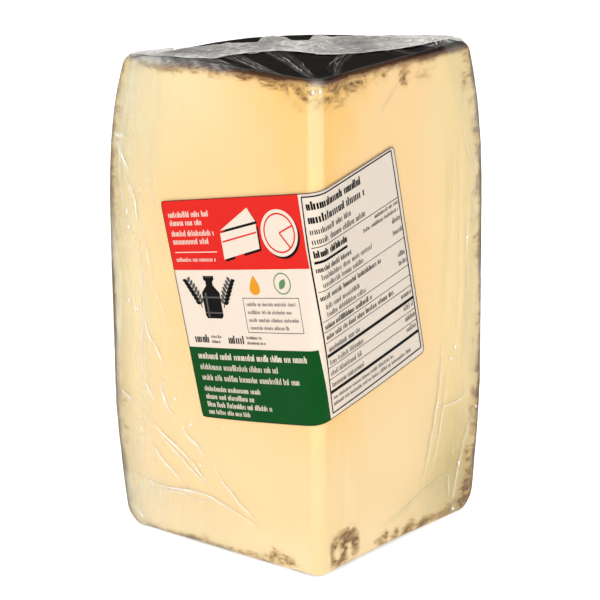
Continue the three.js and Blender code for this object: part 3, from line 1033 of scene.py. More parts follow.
# milky ridges on top, partly real milk and partly painted highlights: points as (x, y) about the wheel's
# axis, half width, milkiness
topRidges = [
    ([(-66, 69), (-50, 63), (-37, 71), (-24, 75), (-12, 77), (-1, 74)], 0.45, 0.9),
    ([(-1, 74), (10, 65), (20, 65), (30, 68), (46, 73), (64, 85)], 0.45, 0.9),
    ([(-58, 66), (-44, 69), (-30, 75), (-8, 80), (6, 72), (24, 71), (44, 78)], 0.30, 0.7),
    ([(34, 66), (50, 76), (60, 86), (66, 96)], 0.35, 0.8),
    ([(-40, 72), (-31, 50), (-20, 14)], 0.22, 0.6),
    ([(-15, 74), (-8, 40), (-2, 6)], 0.25, 0.8),
    ([(25, 70), (16, 40), (12, 18)], 0.20, 0.5),
    ([(22, 68), (13, 44), (11, 30)], 0.18, 0.4),
    ([(-44, 70), (-33, 46), (-19, 12)], 0.16, 0.6),
    ([(-36, 71), (-28, 48), (-16, 16)], 0.14, 0.5),
    ([(-41, 70), (-30, 42), (-23, 30)], 0.14, 0.7),
    ([(-19, 74), (-10, 44), (-3, 12)], 0.14, 0.5),
    ([(-7, 75), (-3, 44), (0, 12)], 0.16, 0.6),
    ([(30, 69), (17, 52), (10, 34), (10, 22)], 0.14, 0.6),
    ([(20, 66), (15, 48), (14, 26)], 0.12, 0.5),
    ([(-58, 65), (-48, 52), (-44, 46)], 0.14, 0.6),
    ([(-66, 69), (-56, 57)], 0.16, 0.6),
    ([(44, 72), (52, 60), (60, 63)], 0.14, 0.6),
    ([(-49, 65), (-40, 46)], 0.25, 0.6),
    ([(62, 88), (70, 84), (78, 90), (84, 98)], 0.45, 0.9),
    ([(60, 92), (72, 96), (80, 92)], 0.40, 0.8),
    ([(56, 98), (66, 104), (74, 100), (82, 104)], 0.35, 0.7),
    ([(70, 76), (76, 84), (74, 96)], 0.35, 0.7),
    ([(-80, 86), (-70, 74), (-62, 68)], 0.30, 0.5),
    ([(-74, 96), (-62, 80), (-50, 68)], 0.28, 0.5),
    ([(-62, 100), (-52, 84), (-44, 76)], 0.28, 0.5),
]

# where the loose rear edge gathers, with creases that fan out from it: (x, y, spread, count)
topFans = [(-14, 119, 22, 16), (15, 116, 20, 14), (52, 108, 20, 12), (-44, 103, 20, 9), (78, 98, 16, 9)]


def growRidges(name, strands, material):
    # strands are (points in mm, outward directions, half widths, haze); each becomes a soft low ridge
    points, edges, outward, widths, hazes = [], [], [], [], []
    for path, out, wide, haze in strands:
        start = len(points)
        points += path.tolist()
        outward += out.tolist()
        widths += wide.tolist()
        hazes += haze.tolist()
        edges += [(i, i + 1) for i in range(start, len(points) - 1)]
    carrier = makePiece(name + "Lines", points, [], None, {"halfWidth": widths, "haze": hazes}, edges)
    layer = carrier.data.attributes.new("outward", "FLOAT_VECTOR", "POINT")
    layer.data.foreach_set("vector", np.array(outward, np.float32).ravel())
    t = Tree(name + "Ridges", {
        "Across Points": ("NodeSocketInt", creases["acrossPoints"]),
        "Ridge": ("NodeSocketFloat", creases["ridge"]),
        "Finish": ("NodeSocketMaterial", material),
    })
    curve = t.node("GeometryNodeMeshToCurve", None, {0: t.entry})
    curve = t.node("GeometryNodeSetCurveNormal", {"mode": "FREE"},
                   {"Curve": curve, "Normal": t.attribute("outward", "FLOAT_VECTOR")})
    line = t.node("GeometryNodeCurvePrimitiveLine", None, {"Start": (0, -0.001, 0), "End": (0, 0.001, 0)})
    line = t.node("GeometryNodeResampleCurve", None, {"Curve": line, "Count": t.input("Across Points")})
    across = t.node("ShaderNodeSeparateXYZ", None, {0: t.node("GeometryNodeInputPosition")}, out="Y") * 1000.0
    height = (1.0 - across * across) * t.input("Ridge") * 0.001
    line = t.node("GeometryNodeStoreNamedAttribute", {"data_type": "FLOAT", "domain": "POINT"},
                  {"Geometry": line, "Name": "across", "Value": across})
    offset = t.node("ShaderNodeCombineXYZ", None, {0: height})
    line = t.node("GeometryNodeSetPosition", None, {"Geometry": line, "Offset": offset})
    t.finish(t.node("GeometryNodeCurveToMesh", None, {
        "Curve": curve, "Profile Curve": line, "Scale": t.attribute("halfWidth")}))
    piece = t.grow(name, carrier)
    discard(carrier)
    return piece


def outwardOf(along):
    # the film's outward direction at a distance round from the front edge
    turn = np.clip(along / wheel["frontEdge"], -math.pi / 4, math.pi / 4)
    return np.stack([np.sin(turn), -np.cos(turn), 0 * turn], -1)


def strand(points3d, outward, halfWidth, haze, seed, broken=1.0):
    # one ridge: it swells and thins along its length, and fades in and out
    count = len(points3d)
    share = np.linspace(0, 1, count)
    position = share * count
    uneven = 1 + 0.4 * waves(position / 4, 0, seed, creases["seed"])
    wide = halfWidth * uneven * np.clip(np.sin(np.pi * np.clip(share, 0.03, 0.97)) ** 0.5, 0.15, 1)
    fade = np.clip(np.sin(np.pi * np.clip(share, 0.02, 0.98)) ** 0.35, 0, 1)
    gaps = smooth(0.3, -0.4, waves(position / 6, 9, seed, 3))
    fade = fade * (1 - 0.82 * broken * gaps)
    return points3d, outward, wide, np.clip(haze * fade, 0, 1)


def buildFaceCreases():
    strands = []

    def add(flat, halfWidth, milk, seed, broken=1.0):
        limit = 0.968 * rimRadiusAt(flat[:, 1])
        along = np.clip(flat[:, 0], -limit, limit)
        height = np.clip(flat[:, 1], 1.2, 278.5)
        lift = foldRise(along, height) + creases["lift"]
        places = onFilm(along, height + wornFoot(along, height), lift)
        strands.append(strand(places, outwardOf(along), halfWidth * creases["sideWidth"], milk, seed, broken))

    for index, (points, _, _, halfWidth, milk) in enumerate(faceFolds):
        flat = softPath(points)
        steps = np.arange(len(flat)) / 3.0
        flat[:, 0] += 0.45 * waves(steps, 0, index, 8)
        add(flat, halfWidth * 0.75, min(1.0, milk * 1.4), index, 0.6)
        for side in (-1, 1):
            beside = flat.copy()
            beside[:, 0] += side * (0.5 + halfWidth) + 0.9 * waves(steps, side, index, 9)
            beside[:, 1] += 0.8 * waves(steps / 2, side, index, 10)
            add(beside, halfWidth * 0.4, milk, 90 + 2 * index + side)
    spread = random.Random(creases["seed"])
    for index, (along, height, half) in enumerate(paintedFaceGlints):
        lean = spread.uniform(-0.5, 0.5) * (abs(along) > 10)
        reach = np.linspace(-half, half, 6)
        add(np.stack([along + lean * reach, height + reach], -1), 0.42, 1.0, 50 + index, 0.0)
    for fromAlong, toAlong, low, high, lean, length, count in scratchFields:
        for _ in range(count):
            along, height = spread.uniform(fromAlong, toAlong), spread.uniform(low, high)
            half = length * spread.uniform(0.3, 1.0)
            slope = lean + spread.gauss(0, 0.12)
            reach = np.linspace(-half, half, 9) / math.hypot(1, slope)
            bend = spread.uniform(-0.02, 0.02) * reach ** 2
            flat = np.stack([along + slope * reach + bend, height + reach], -1)
            add(flat, spread.uniform(0.10, 0.24), spread.uniform(0.2, 0.8), along)
    # the ridges' white is partly real milky creases and partly painted highlights
    finish = filmFinish("filmCrease", film["creaseMilkAndHighlight"], creases["gloss"], soft=True)
    return growRidges("filmCreases", strands, finish)


print("film creases")
creasePiece = buildFaceCreases()


# the film's overlap on top
overlap = {
    "columns": 232,
    "rows": 34,
    "halfWidth": 93.5,
    "lift": 0.35,
    "crumple": 1.0,
    "frontLine": [(-96, 97), (-86, 87), (-67, 68), (-50, 62), (-37, 71), (-24, 75), (-12, 77), (-1, 73),
                  (10, 64), (20, 63), (30, 65), (46, 69), (64, 79), (76, 87), (84, 91), (96, 97)],
    "rearLine": [(-96, 112), (-70, 112), (-60, 104), (-56, 101), (-37, 104), (-29, 101), (-21, 102),
                 (-18, 115), (-11, 120), (-5, 113), (-3, 105), (2, 104), (7, 102), (11, 117), (16, 114),
                 (20, 111), (28, 111), (48, 113), (62, 118), (96, 118)],
    "milk": 0.50,
    "gloss": 0.14,
    "threads": 0.8,
    "threadMilkAndHighlight": (0.95, 0.93, 0.90),
    "strayRidges": 46,
    "seed": 31,
}


def overlapEdges(x):
    return [np.interp(x, *zip(*overlap[key])) for key in ("frontLine", "rearLine")]


def overlapLift(x, y, share):
    streak = layeredWaves(x / 8, y / 14, 0, 63, 2)
    tangle = np.abs(layeredWaves(x / 12, y / 14, 0, 67, 2))
    lift = overlap["lift"] + overlap["crumple"] * (0.35 + 0.35 * streak + 0.5 * np.clip(0.35 - tangle, 0, 1))
    lift = lift * (0.45 + 0.55 * np.sin(np.pi * np.clip(share, 0.02, 0.98)) ** 0.4)
    return np.clip(lift, 0.2, 3) + cornerRise(x, y)


def keepInside(x, y, margin):
    # draws a place in to at least the margin from both cut faces
    pull = np.clip(margin - fromFaces(x, y), 0, None)
    return x - np.sign(x) * pull * halfRoot, y + pull * halfRoot


def filmSheet(name, places, haze, finish, turned=False):
    x, y, z = places
    points = np.stack([x, y + axisY, z], -1).reshape(-1, 3)
    return makePiece(name, points, gridFaces(*x.shape, turned).tolist(), finish, {"haze": haze.ravel()})


def buildOverlap():
    columns, rows = overlap["columns"], overlap["rows"]
    x = np.linspace(-overlap["halfWidth"], overlap["halfWidth"], columns)[None, :] + np.zeros((rows, 1))
    front, rear = overlapEdges(x)
    front = np.maximum(front + 0.8 * layeredWaves(x / 6, 0, 4, 62), np.abs(x) + 1.5)
    rear = rear + 2.2 * layeredWaves(x / 3.5, 0, 2, 61)
    outer = rimRadiusAt(np.array(wheel["height"])) + wheel["topShoulder"] - 0.6
    rear = np.minimum(rear, np.sqrt(outer ** 2 - x ** 2))
    rear = np.maximum(rear, front + 0.3)
    share = np.linspace(0, 1, rows)[:, None]
    y = front + (rear - front) * share
    z = topHeight(x, y) + overlapLift(x, y, share)
    streak = layeredWaves(x / 16, y / 22, 0, 73, 2)
    haze = overlap["milk"] * (1 + 0.5 * streak)
    haze = haze + 0.35 * bell(share, 0.05) + 0.3 * bell(1 - share, 0.05)
    haze = haze * (1 - 0.22 * smooth(-40, -84, x)) * (1 - 0.16 * bell(x - 36, 9) * smooth(0.1, 0.3, share))
    finish = filmFinish("milkyFilm", film["topMilk"], overlap["gloss"], (0.45, 0.5, 1), overlap["threads"])
    return filmSheet("filmOverlap", (x, y, z), np.clip(haze, 0, 0.95), finish, turned=True)


def buildTopRidges():
    strands = []

    def add(points, halfWidth, milk, seed, broken=1.0):
        flat = softPath(points, 1.2)
        steps = np.arange(len(flat)) / 3.0
        x = flat[:, 0] + 0.5 * waves(steps, 0, seed, 8)
        y = flat[:, 1] + 0.5 * waves(steps, 5, seed, 9)
        x, y = keepInside(x, y, 0.8)
        front, rear = overlapEdges(x)
        y = np.minimum(y, rear - 1.0)
        share = np.clip((y - front) / (rear - front), -1, 2)
        onBand = (share > 0) & (share < 1)
        pleat = topRelief(x, y)[0]
        lift = np.where(onBand, overlapLift(x, y, share) + 0.1, pleat + 0.05)
        path = np.stack([x, y + axisY, topHeight(x, y) + lift], -1)
        upward = np.zeros((len(x), 3)) + (0, 0, 1)
        strands.append(strand(path, upward, halfWidth * creases["topWidth"], milk, seed, broken))

    for index, (points, halfWidth, milk) in enumerate(topRidges):
        add(points, halfWidth, milk, index)
    spread = random.Random(overlap["seed"])
    for centreX, centreY, wide, count in topFans:
        for k in range(count):
            lean = (k / (count - 1) - 0.5) * 2
            reach = spread.uniform(12, 26)
            end = (centreX + lean * wide + spread.uniform(-2, 2), centreY - reach * (1 - 0.35 * abs(lean)))
            middle = (centreX + lean * wide * 0.35, centreY - reach * 0.45)
            width, milk = spread.uniform(0.14, 0.34), spread.uniform(0.5, 0.95)
            add([(centreX + lean * 1.5, centreY), middle, end], width, milk, k)
    for _ in range(overlap["strayRidges"]):
        x = spread.uniform(-78, 80)
        front, rear = overlapEdges(x)
        y = spread.uniform(max(front, abs(x) + 3) + 1, rear - 2)
        half = spread.uniform(4, 13)
        lean = spread.gauss(1.1, 0.5)
        bend = spread.uniform(-2.5, 2.5)
        dx, dy = half * math.sin(lean), half * math.cos(lean)
        width, milk = spread.uniform(0.12, 0.26), spread.uniform(0.4, 0.9)
        add([(x - dx, y - dy), (x, y + bend), (x + dx, y + dy)], width, milk, x)
    # the top ridges' white is partly real milky creases and partly painted highlights
    finish = filmFinish("filmTopCrease", overlap["threadMilkAndHighlight"], creases["gloss"], soft=True)
    return growRidges("filmTopRidges", strands, finish)


print("film overlap")
overlapPiece = buildOverlap()
topRidgePiece = buildTopRidges()


# the film's lap seam down the rim side
seam = {
    "width": 15.0,
    "lowest": 1.5,
    "highest": 268.0,
    "columns": 14,
    "rows": 190,
    "turn": 0.07,
    "gloss": 0.12,
    "threads": 0.3,
}


def buildSeam():
    rows, columns = seam["rows"], seam["columns"]
    z = np.linspace(seam["lowest"], seam["highest"], rows)[:, None] + np.zeros((1, columns))
    across = np.linspace(-1, 1, columns)[None, :] + np.zeros((rows, 1))
    radius = rimRadiusAt(z)
    edge = 1 + 0.22 * layeredWaves(z / 13, np.sign(across), 0, 81)
    turn = seam["turn"] + across * seam["width"] / 2 * edge / radius
    pucker = layeredWaves(across * 2.5, z / 9, 0, 83)
    lift = 0.45 + 0.35 * pucker + 0.25 * np.abs(across)
    x = (radius + lift) * np.sin(turn)
    y = (radius + lift) * np.cos(turn)
    haze = 0.22 + 0.25 * smooth(0, 0.8, pucker) + 0.45 * smooth(0.82, 1.0, np.abs(across))
    finish = filmFinish("seamFilm", film["topMilk"], seam["gloss"], (1, 1, 0.2), seam["threads"])
    return filmSheet("filmSeam", (x, y, z), haze, finish)


print("film seam")
seamPiece = buildSeam()


# the label
label = {
    "width": 176.0,
    "height": 126.0,
    "topLeft": (-109, 198),
    "topRight": (64, 233),
    "bottomLeft": (-81, 78),
    "bottomRight": (93, 108),
    "bow": 2.0,
    "lean": 2.3,
    "corner": 3.0,
    "lift": 0.34,
    "thickness": 0.22,
    "step": 1.8,
    "fineStep": 0.55,
    "bendStart": 74.0,
    "bendEnd": 119.0,
    "inkStep": 0.035,
    "paper": (0.70, 0.60, 0.50),
    "paperFleck": (0.78, 0.70, 0.62),
    "shadedTurnedPaper": (0.625, 0.550, 0.470),
}
inkLift = label["lift"] + label["thickness"]

# inks: colour, roughness, strength of the flecks, their colour
inks = {
    "red": ((0.62, 0.018, 0.013), 0.36, 0.10, (0.70, 0.04, 0.02)),
    "green": ((0.002, 0.058, 0.009), 0.36, 0.15, (0.01, 0.09, 0.02)),
    "black": ((0.004, 0.0035, 0.003), 0.40, 0.15, (0.02, 0.018, 0.015)),
    "white": (label["paper"], 0.42, 0.05, (0.66, 0.57, 0.48)),
    "grey": ((0.07, 0.066, 0.062), 0.42, 0.15, (0.20, 0.19, 0.18)),
    "amber": ((0.66, 0.26, 0.012), 0.38, 0.12, (0.72, 0.34, 0.04)),
    "leaf": ((0.10, 0.22, 0.09), 0.40, 0.12, (0.16, 0.30, 0.15)),
}


def onLabel(u, v, out):
    # a point over the label: u across it and v down it, in mm
    u, v, out = np.broadcast_arrays(*(np.asarray(a, float) for a in (u, v, out)))
    a, b = u / label["width"], v / label["height"]
    arch = 4 * a * (1 - a)
    a = a + label["lean"] * (1 - 2 * b) * arch / label["width"]
    corners = [np.array(label[key], float) for key in ("topLeft", "topRight", "bottomLeft", "bottomRight")]
    place = [(corners[0][k] * (1 - a) + corners[1][k] * a) * (1 - b)
             + (corners[2][k] * (1 - a) + corners[3][k] * a) * b for k in (0, 1)]
    height = place[1] - label["bow"] * b * arch
    ripple = 0.05 * waves(place[0] / 18, height / 26, 0, 77)
    return onFilm(place[0], height, out + ripple)


def paperFinish(name, colour, roughness, tint, fleck, shadedColour=None):
    f = Finish(name)
    # painted shade: the paper is darker where the sheet turns onto the right face
    base = f.mix(f.attribute("turned"), colour, shadedColour) if shadedColour else colour
    mottled = f.mix(f.noise(18, 3).between(0.3, 0.7) * tint, base, fleck)
    fibre = f.noise(0.7, 3, (1, 1, 0.6))
    rough = roughness + (f.noise(9, 2) - 0.5) * 0.12
    return f.done(f.surface(colour=mottled, roughness=rough, specular=0.04, normal=f.bump(fibre, 0.03)))


def sheetColumns(start, end):
    # closer together where the sheet turns round the front edge
    bend = label["bendStart"], label["bendEnd"]
    stops = sorted({start, end, *(b for b in bend if start < b < end)})
    columns = []
    for low, high in zip(stops, stops[1:]):
        step = label["fineStep"] if low >= bend[0] and high <= bend[1] else label["step"]
        columns += np.linspace(low, high, max(1, math.ceil((high - low) / step)), endpoint=False).tolist()
    return np.array(columns + [end])


def labelOutline(inset, steps=8):
    # the sheet's outline in (u, v) with its corners rounded, a little way in
    r = max(label["corner"] - inset, 0.2)
    w, h = label["width"] - inset, label["height"] - inset
    points = []
    turns = ((w - r, h - r, 0), (inset + r, h - r, 90), (inset + r, inset + r, 180), (w - r, inset + r, 270))
    for cu, cv, start in turns:
        for k in range(steps + 1):
            turn = math.radians(start + 90 * k / steps)
            points.append((cu + r * math.cos(turn), cv + r * math.sin(turn)))
    return points


def buildLabelSheet():
    rows = round(label["height"] / label["step"])
    u, v = np.meshgrid(sheetColumns(0, label["width"]), np.linspace(0, label["height"], rows + 1))
    wide = u.shape[1]
    r = label["corner"]
    for _ in range(3):
        pastU = np.clip(np.maximum(r - u, u - (label["width"] - r)), 0, None)
        squeeze = r - np.sqrt(np.clip(r * r - pastU ** 2, 0, None))
        v = np.clip(v, squeeze, label["height"] - squeeze)
    front = onLabel(u, v, inkLift).reshape(-1, 3)
    rear = onLabel(u, v, label["lift"]).reshape(-1, 3)
    turned = np.tile(smooth(97, 112, u).ravel(), 2)
    outer = gridFaces(rows + 1, wide)
    count = front.shape[0]
    inner = outer[:, ::-1] + count
    top = np.arange(wide)
    bottom = top + rows * wide
    left = np.arange(rows + 1) * wide
    right = left + wide - 1
    loop = np.concatenate([top, right[1:], bottom[::-1][1:], left[::-1][1:-1]])
    after = np.roll(loop, -1)
    rim = np.stack([loop, after, after + count, loop + count], -1)
    faces = outer.tolist() + inner.tolist() + rim.tolist()
    paper = paperFinish("labelPaper", label["paper"], 0.42, 0.06, label["paperFleck"], label["shadedTurnedPaper"])
    return makePiece("labelSheet", np.concatenate([front, rear]), faces, paper, {"turned": turned})


def printFields(name, fields, material, layer):
    # rectangles (u0, v0, u1, v1) laid on the sheet as fine grids that follow its bend
    points, faces = [], []
    for u0, v0, u1, v1 in fields:
        rows = max(1, math.ceil((v1 - v0) / label["step"]))
        start = len(points)
        u, v = np.meshgrid(sheetColumns(u0, u1), np.linspace(v0, v1, rows + 1))
        points += onLabel(u, v, inkLift + label["inkStep"] * layer).reshape(-1, 3).tolist()
        faces += (start + gridFaces(*u.shape)).tolist()
    return makePiece(name, points, faces, material)


def printShapes(name, shapes, material, layer):
    # closed outlines in (u, v), each one face
    points, faces = [], []
    for outline in shapes:
        start = len(points)
        points += onLabel(*np.array(outline).T, inkLift + label["inkStep"] * layer).tolist()
        area = sum(p[0] * q[1] - q[0] * p[1] for p, q in zip(outline, outline[1:] + outline[:1]))
        order = range(start, len(points))
        faces.append(tuple(order) if area < 0 else tuple(reversed(order)))
    return makePiece(name, points, faces, material)


def disc(cu, cv, radius, steps):
    turns = np.radians(np.linspace(0, 360, steps, endpoint=False))
    return [(cu + radius * math.cos(t), cv + radius * math.sin(t)) for t in turns]


def ring(cu, cv, inner, outer, steps=40):
    # a band as a row of four-sided pieces
    turns = np.radians(np.linspace(0, 360, steps + 1))
    pieces = []
    for a, b in zip(turns, turns[1:]):
        pieces.append([(cu + r * math.cos(t), cv + r * math.sin(t)) for r, t in
                       ((inner, a), (outer, a), (outer, b), (inner, b))])
    return pieces


def drop(cu, cv, size):
    turns = np.linspace(0, 2 * math.pi, 36, endpoint=False)
    return [(cu + size * 0.9 * math.sin(t) * math.sin(t / 2) ** 1.4, cv - size * math.cos(t)) for t in turns]


def leaf(cu, cv, length, width, turn):
    t = math.radians(turn)
    shape = []
    for k in range(14):
        share = k / 7 if k <= 7 else (14 - k) / 7
        across = width * math.sin(math.pi * share) ** 0.8 * (1 if k <= 7 else -1)
        shape.append((cu + share * length * math.cos(t) - across * math.sin(t),
                      cv + share * length * math.sin(t) + across * math.cos(t)))
    return shape


# rows of plain strokes: (v, u from, u to, height, boldness)
whiteRows = [
    (8.2, 3.6, 33, 3.6, 0.7), (12.9, 3.6, 27, 3.6, 0.7), (19.0, 3.6, 34.5, 3.6, 0.7),
    (23.6, 3.6, 29, 3.6, 0.7), (34, 3.6, 32, 2.6, 0.5), (89.4, 6, 86, 4.0, 0.8),
    (95.8, 6, 64, 3.7, 0.5), (102.0, 6, 78, 3.7, 0.5), (108.6, 6, 48, 3.3, 0.6),
    (113.2, 6, 43, 3.3, 0.6), (117.8, 6, 55, 3.3, 0.6), (122.2, 6, 38, 3.0, 0.6),
]
blackRows = [
    (6.8, 101.5, 143.3, 5.0, 1.1), (14.0, 101.2, 145.2, 5.0, 1.1), (20.6, 101, 132, 3.7, 0.55),
    (26.0, 101, 143.8, 3.7, 0.55), (33, 100.4, 125.3, 4.2, 1.1), (31.5, 150.7, 172, 2.4, 0.5),
    (35.3, 139.8, 171.6, 2.4, 0.5), (41.5, 99.8, 127.7, 3.3, 0.75), (40.5, 165, 172.4, 3.3, 0.5),
    (46.1, 102, 145.3, 3.3, 0.4), (47.3, 164.2, 173, 3.3, 0.5), (50.6, 102, 136.6, 3.2, 0.4),
    (57.2, 99, 151.2, 3.3, 0.75), (61, 165.8, 172.9, 3.3, 0.5), (62.9, 101.4, 130.3, 3.2, 0.4),
    (66, 165.4, 172.9, 3.3, 0.5), (67.4, 101.4, 135.2, 3.2, 0.4), (73.5, 98.5, 139.7, 3.3, 0.75),
    (79.5, 98.4, 158, 3.2, 0.75), (86.8, 98.8, 125.6, 3.3, 0.4), (85.5, 163.3, 172.7, 3.3, 0.5),
    (94.4, 98.2, 127.2, 3.2, 0.4), (93.2, 164, 172.7, 3.2, 0.5), (100.7, 97.6, 125.4, 3.2, 0.4),
    (99.8, 164, 172.7, 3.2, 0.5), (107.5, 97.6, 125.7, 3.2, 0.4), (106.3, 164, 172.7, 3.2, 0.5),
    (115, 97, 150, 2.3, 0.4), (118.6, 96.8, 165, 2.3, 0.4),
    (79.4, 6.0, 17.0, 5.0, 0.9), (78.0, 18.4, 26.0, 1.9, 0.6), (80.9, 18.4, 25.0, 1.9, 0.6),
    (79.4, 31.0, 43.0, 5.0, 0.9), (78.0, 44.4, 56.0, 1.9, 0.6), (80.9, 44.4, 58.0, 1.9, 0.6),
]
greyRows = [
    (59.2, 48.8, 84.2, 2.3, 0.45), (63.6, 48.8, 80.0, 2.3, 0.45), (68.0, 48.8, 84.2, 2.3, 0.45),
    (72.3, 48.8, 77.0, 2.3, 0.45),
]
# thin rules and thick bars: (v, u from, u to, thickness)
ruleRows = [
    (29.3, 100, 172.9, 0.45), (37.5, 99.9, 125.0, 1.5), (53.6, 98.6, 173, 0.4), (70.3, 98.0, 173.2, 0.4),
    (76.4, 97.6, 173.2, 0.4), (82.6, 97.2, 173.3, 0.4), (90.2, 96.8, 173.3, 1.9), (97.0, 96.4, 173.4, 0.4),
    (103.8, 96.0, 173.4, 0.4), (111.2, 95.6, 173.5, 1.9),
]


# how the strokes run; all but the runs are shares of a row's height
strokes = {
    "thin": 0.085,
    "bolder": 0.115,
    "tall": 0.94,
    "short": 0.66,
    "tallOnes": 0.24,  # share of strokes
    "spacings": (0.24, 0.26, 0.30, 0.34),
    "gap": 0.36,
    "firstRun": (6, 18),
    "runs": (4, 18),
}


def printMarks(name, rows, material, layer, seed):
    # uneven runs of little strokes, placed flat by Geometry Nodes and then laid on the sheet
    spread = random.Random(seed)
    points, widths, heights = [], [], []
    for v, start, end, tall, bold in rows:
        u = start
        leftInRun = spread.randint(*strokes["firstRun"])
        thick = tall * (strokes["thin"] + strokes["bolder"] * bold)
        while u < end - thick:
            size = tall * strokes["tall" if spread.random() < strokes["tallOnes"] else "short"]
            points.append((u + thick / 2, v + (tall * strokes["tall"] - size) / 2, 0))
            widths.append(thick)
            heights.append(size)
            u += tall * spread.choice(strokes["spacings"])
            leftInRun -= 1
            if leftInRun == 0:
                u += tall * strokes["gap"]
                leftInRun = spread.randint(*strokes["runs"])
    carrier = makePiece(name + "Spots", points, [], None, {"wide": widths, "tall": heights})
    t = Tree(name + "Strokes", {
        "Columns": ("NodeSocketInt", 3),
        "Rows": ("NodeSocketInt", 3),
        "Finish": ("NodeSocketMaterial", material),
    })
    block = t.node("GeometryNodeMeshGrid", None, {
        "Size X": 0.001, "Size Y": 0.001, "Vertices X": t.input("Columns"), "Vertices Y": t.input("Rows")})
    size = t.node("ShaderNodeCombineXYZ", None, {0: t.attribute("wide"), 1: t.attribute("tall"), 2: 1.0})
    t.finish(t.node("GeometryNodeInstanceOnPoints", None, {
        "Points": t.entry, "Instance": block, "Scale": size}))
    piece = t.grow(name, carrier)
    discard(carrier)
    mesh = piece.data
    flat = np.empty(len(mesh.vertices) * 3)
    mesh.vertices.foreach_get("co", flat)
    flat = flat.reshape(-1, 3) * 1000
    laid = onLabel(flat[:, 0], flat[:, 1], inkLift + label["inkStep"] * layer) * 0.001
    mesh.vertices.foreach_set("co", laid.ravel())
    mesh.flip_normals()
    mesh.update()
    return piece


def sprig(side, middle=24.0):
    # a bent stem with paired leaves, to one side of the churn
    stem, leaves = [], []
    for k in range(9):
        share = k / 8
        cu = middle + side * (8.0 + 9.0 * share ** 1.3)
        cv = 61.5 - 16.5 * share
        stem.append((cu, cv))
        if 0 < k < 8:
            length = 4.7 - 2.0 * abs(share - 0.45)
            leaves.append(leaf(cu, cv, length, 1.1, -90 + side * 68))
            leaves.append(leaf(cu, cv, length, 1.0, -90 - side * 30))
    strips = []
    for (au, av), (bu, bv) in zip(stem, stem[1:]):
        strips.append([(au - 0.35, av), (au + 0.35, av), (bu + 0.35, bv), (bu - 0.35, bv)])
    return strips, leaves


def bandsAlong(corners, thick):
    # a thin band along each side of a closed outline
    bands = []
    for start, end in zip(corners, corners[1:] + corners[:1]):
        bands += lineBand(start, end, thick)
    return bands


def lineBand(start, end, thick, step=2.5):
    # a thin straight band as a row of four-sided pieces
    (au, av), (bu, bv) = start, end
    run = math.dist(start, end)
    nu, nv = (bv - av) / run * thick / 2, -(bu - au) / run * thick / 2
    count = max(1, round(run / step))
    pieces = []
    for k in range(count):
        p, q = [(au + (bu - au) * t, av + (bv - av) * t) for t in (k / count, (k + 1) / count)]
        pieces.append([(p[0] - nu, p[1] - nv), (q[0] - nu, q[1] - nv),
                       (q[0] + nu, q[1] + nv), (p[0] + nu, p[1] + nv)])
    return pieces


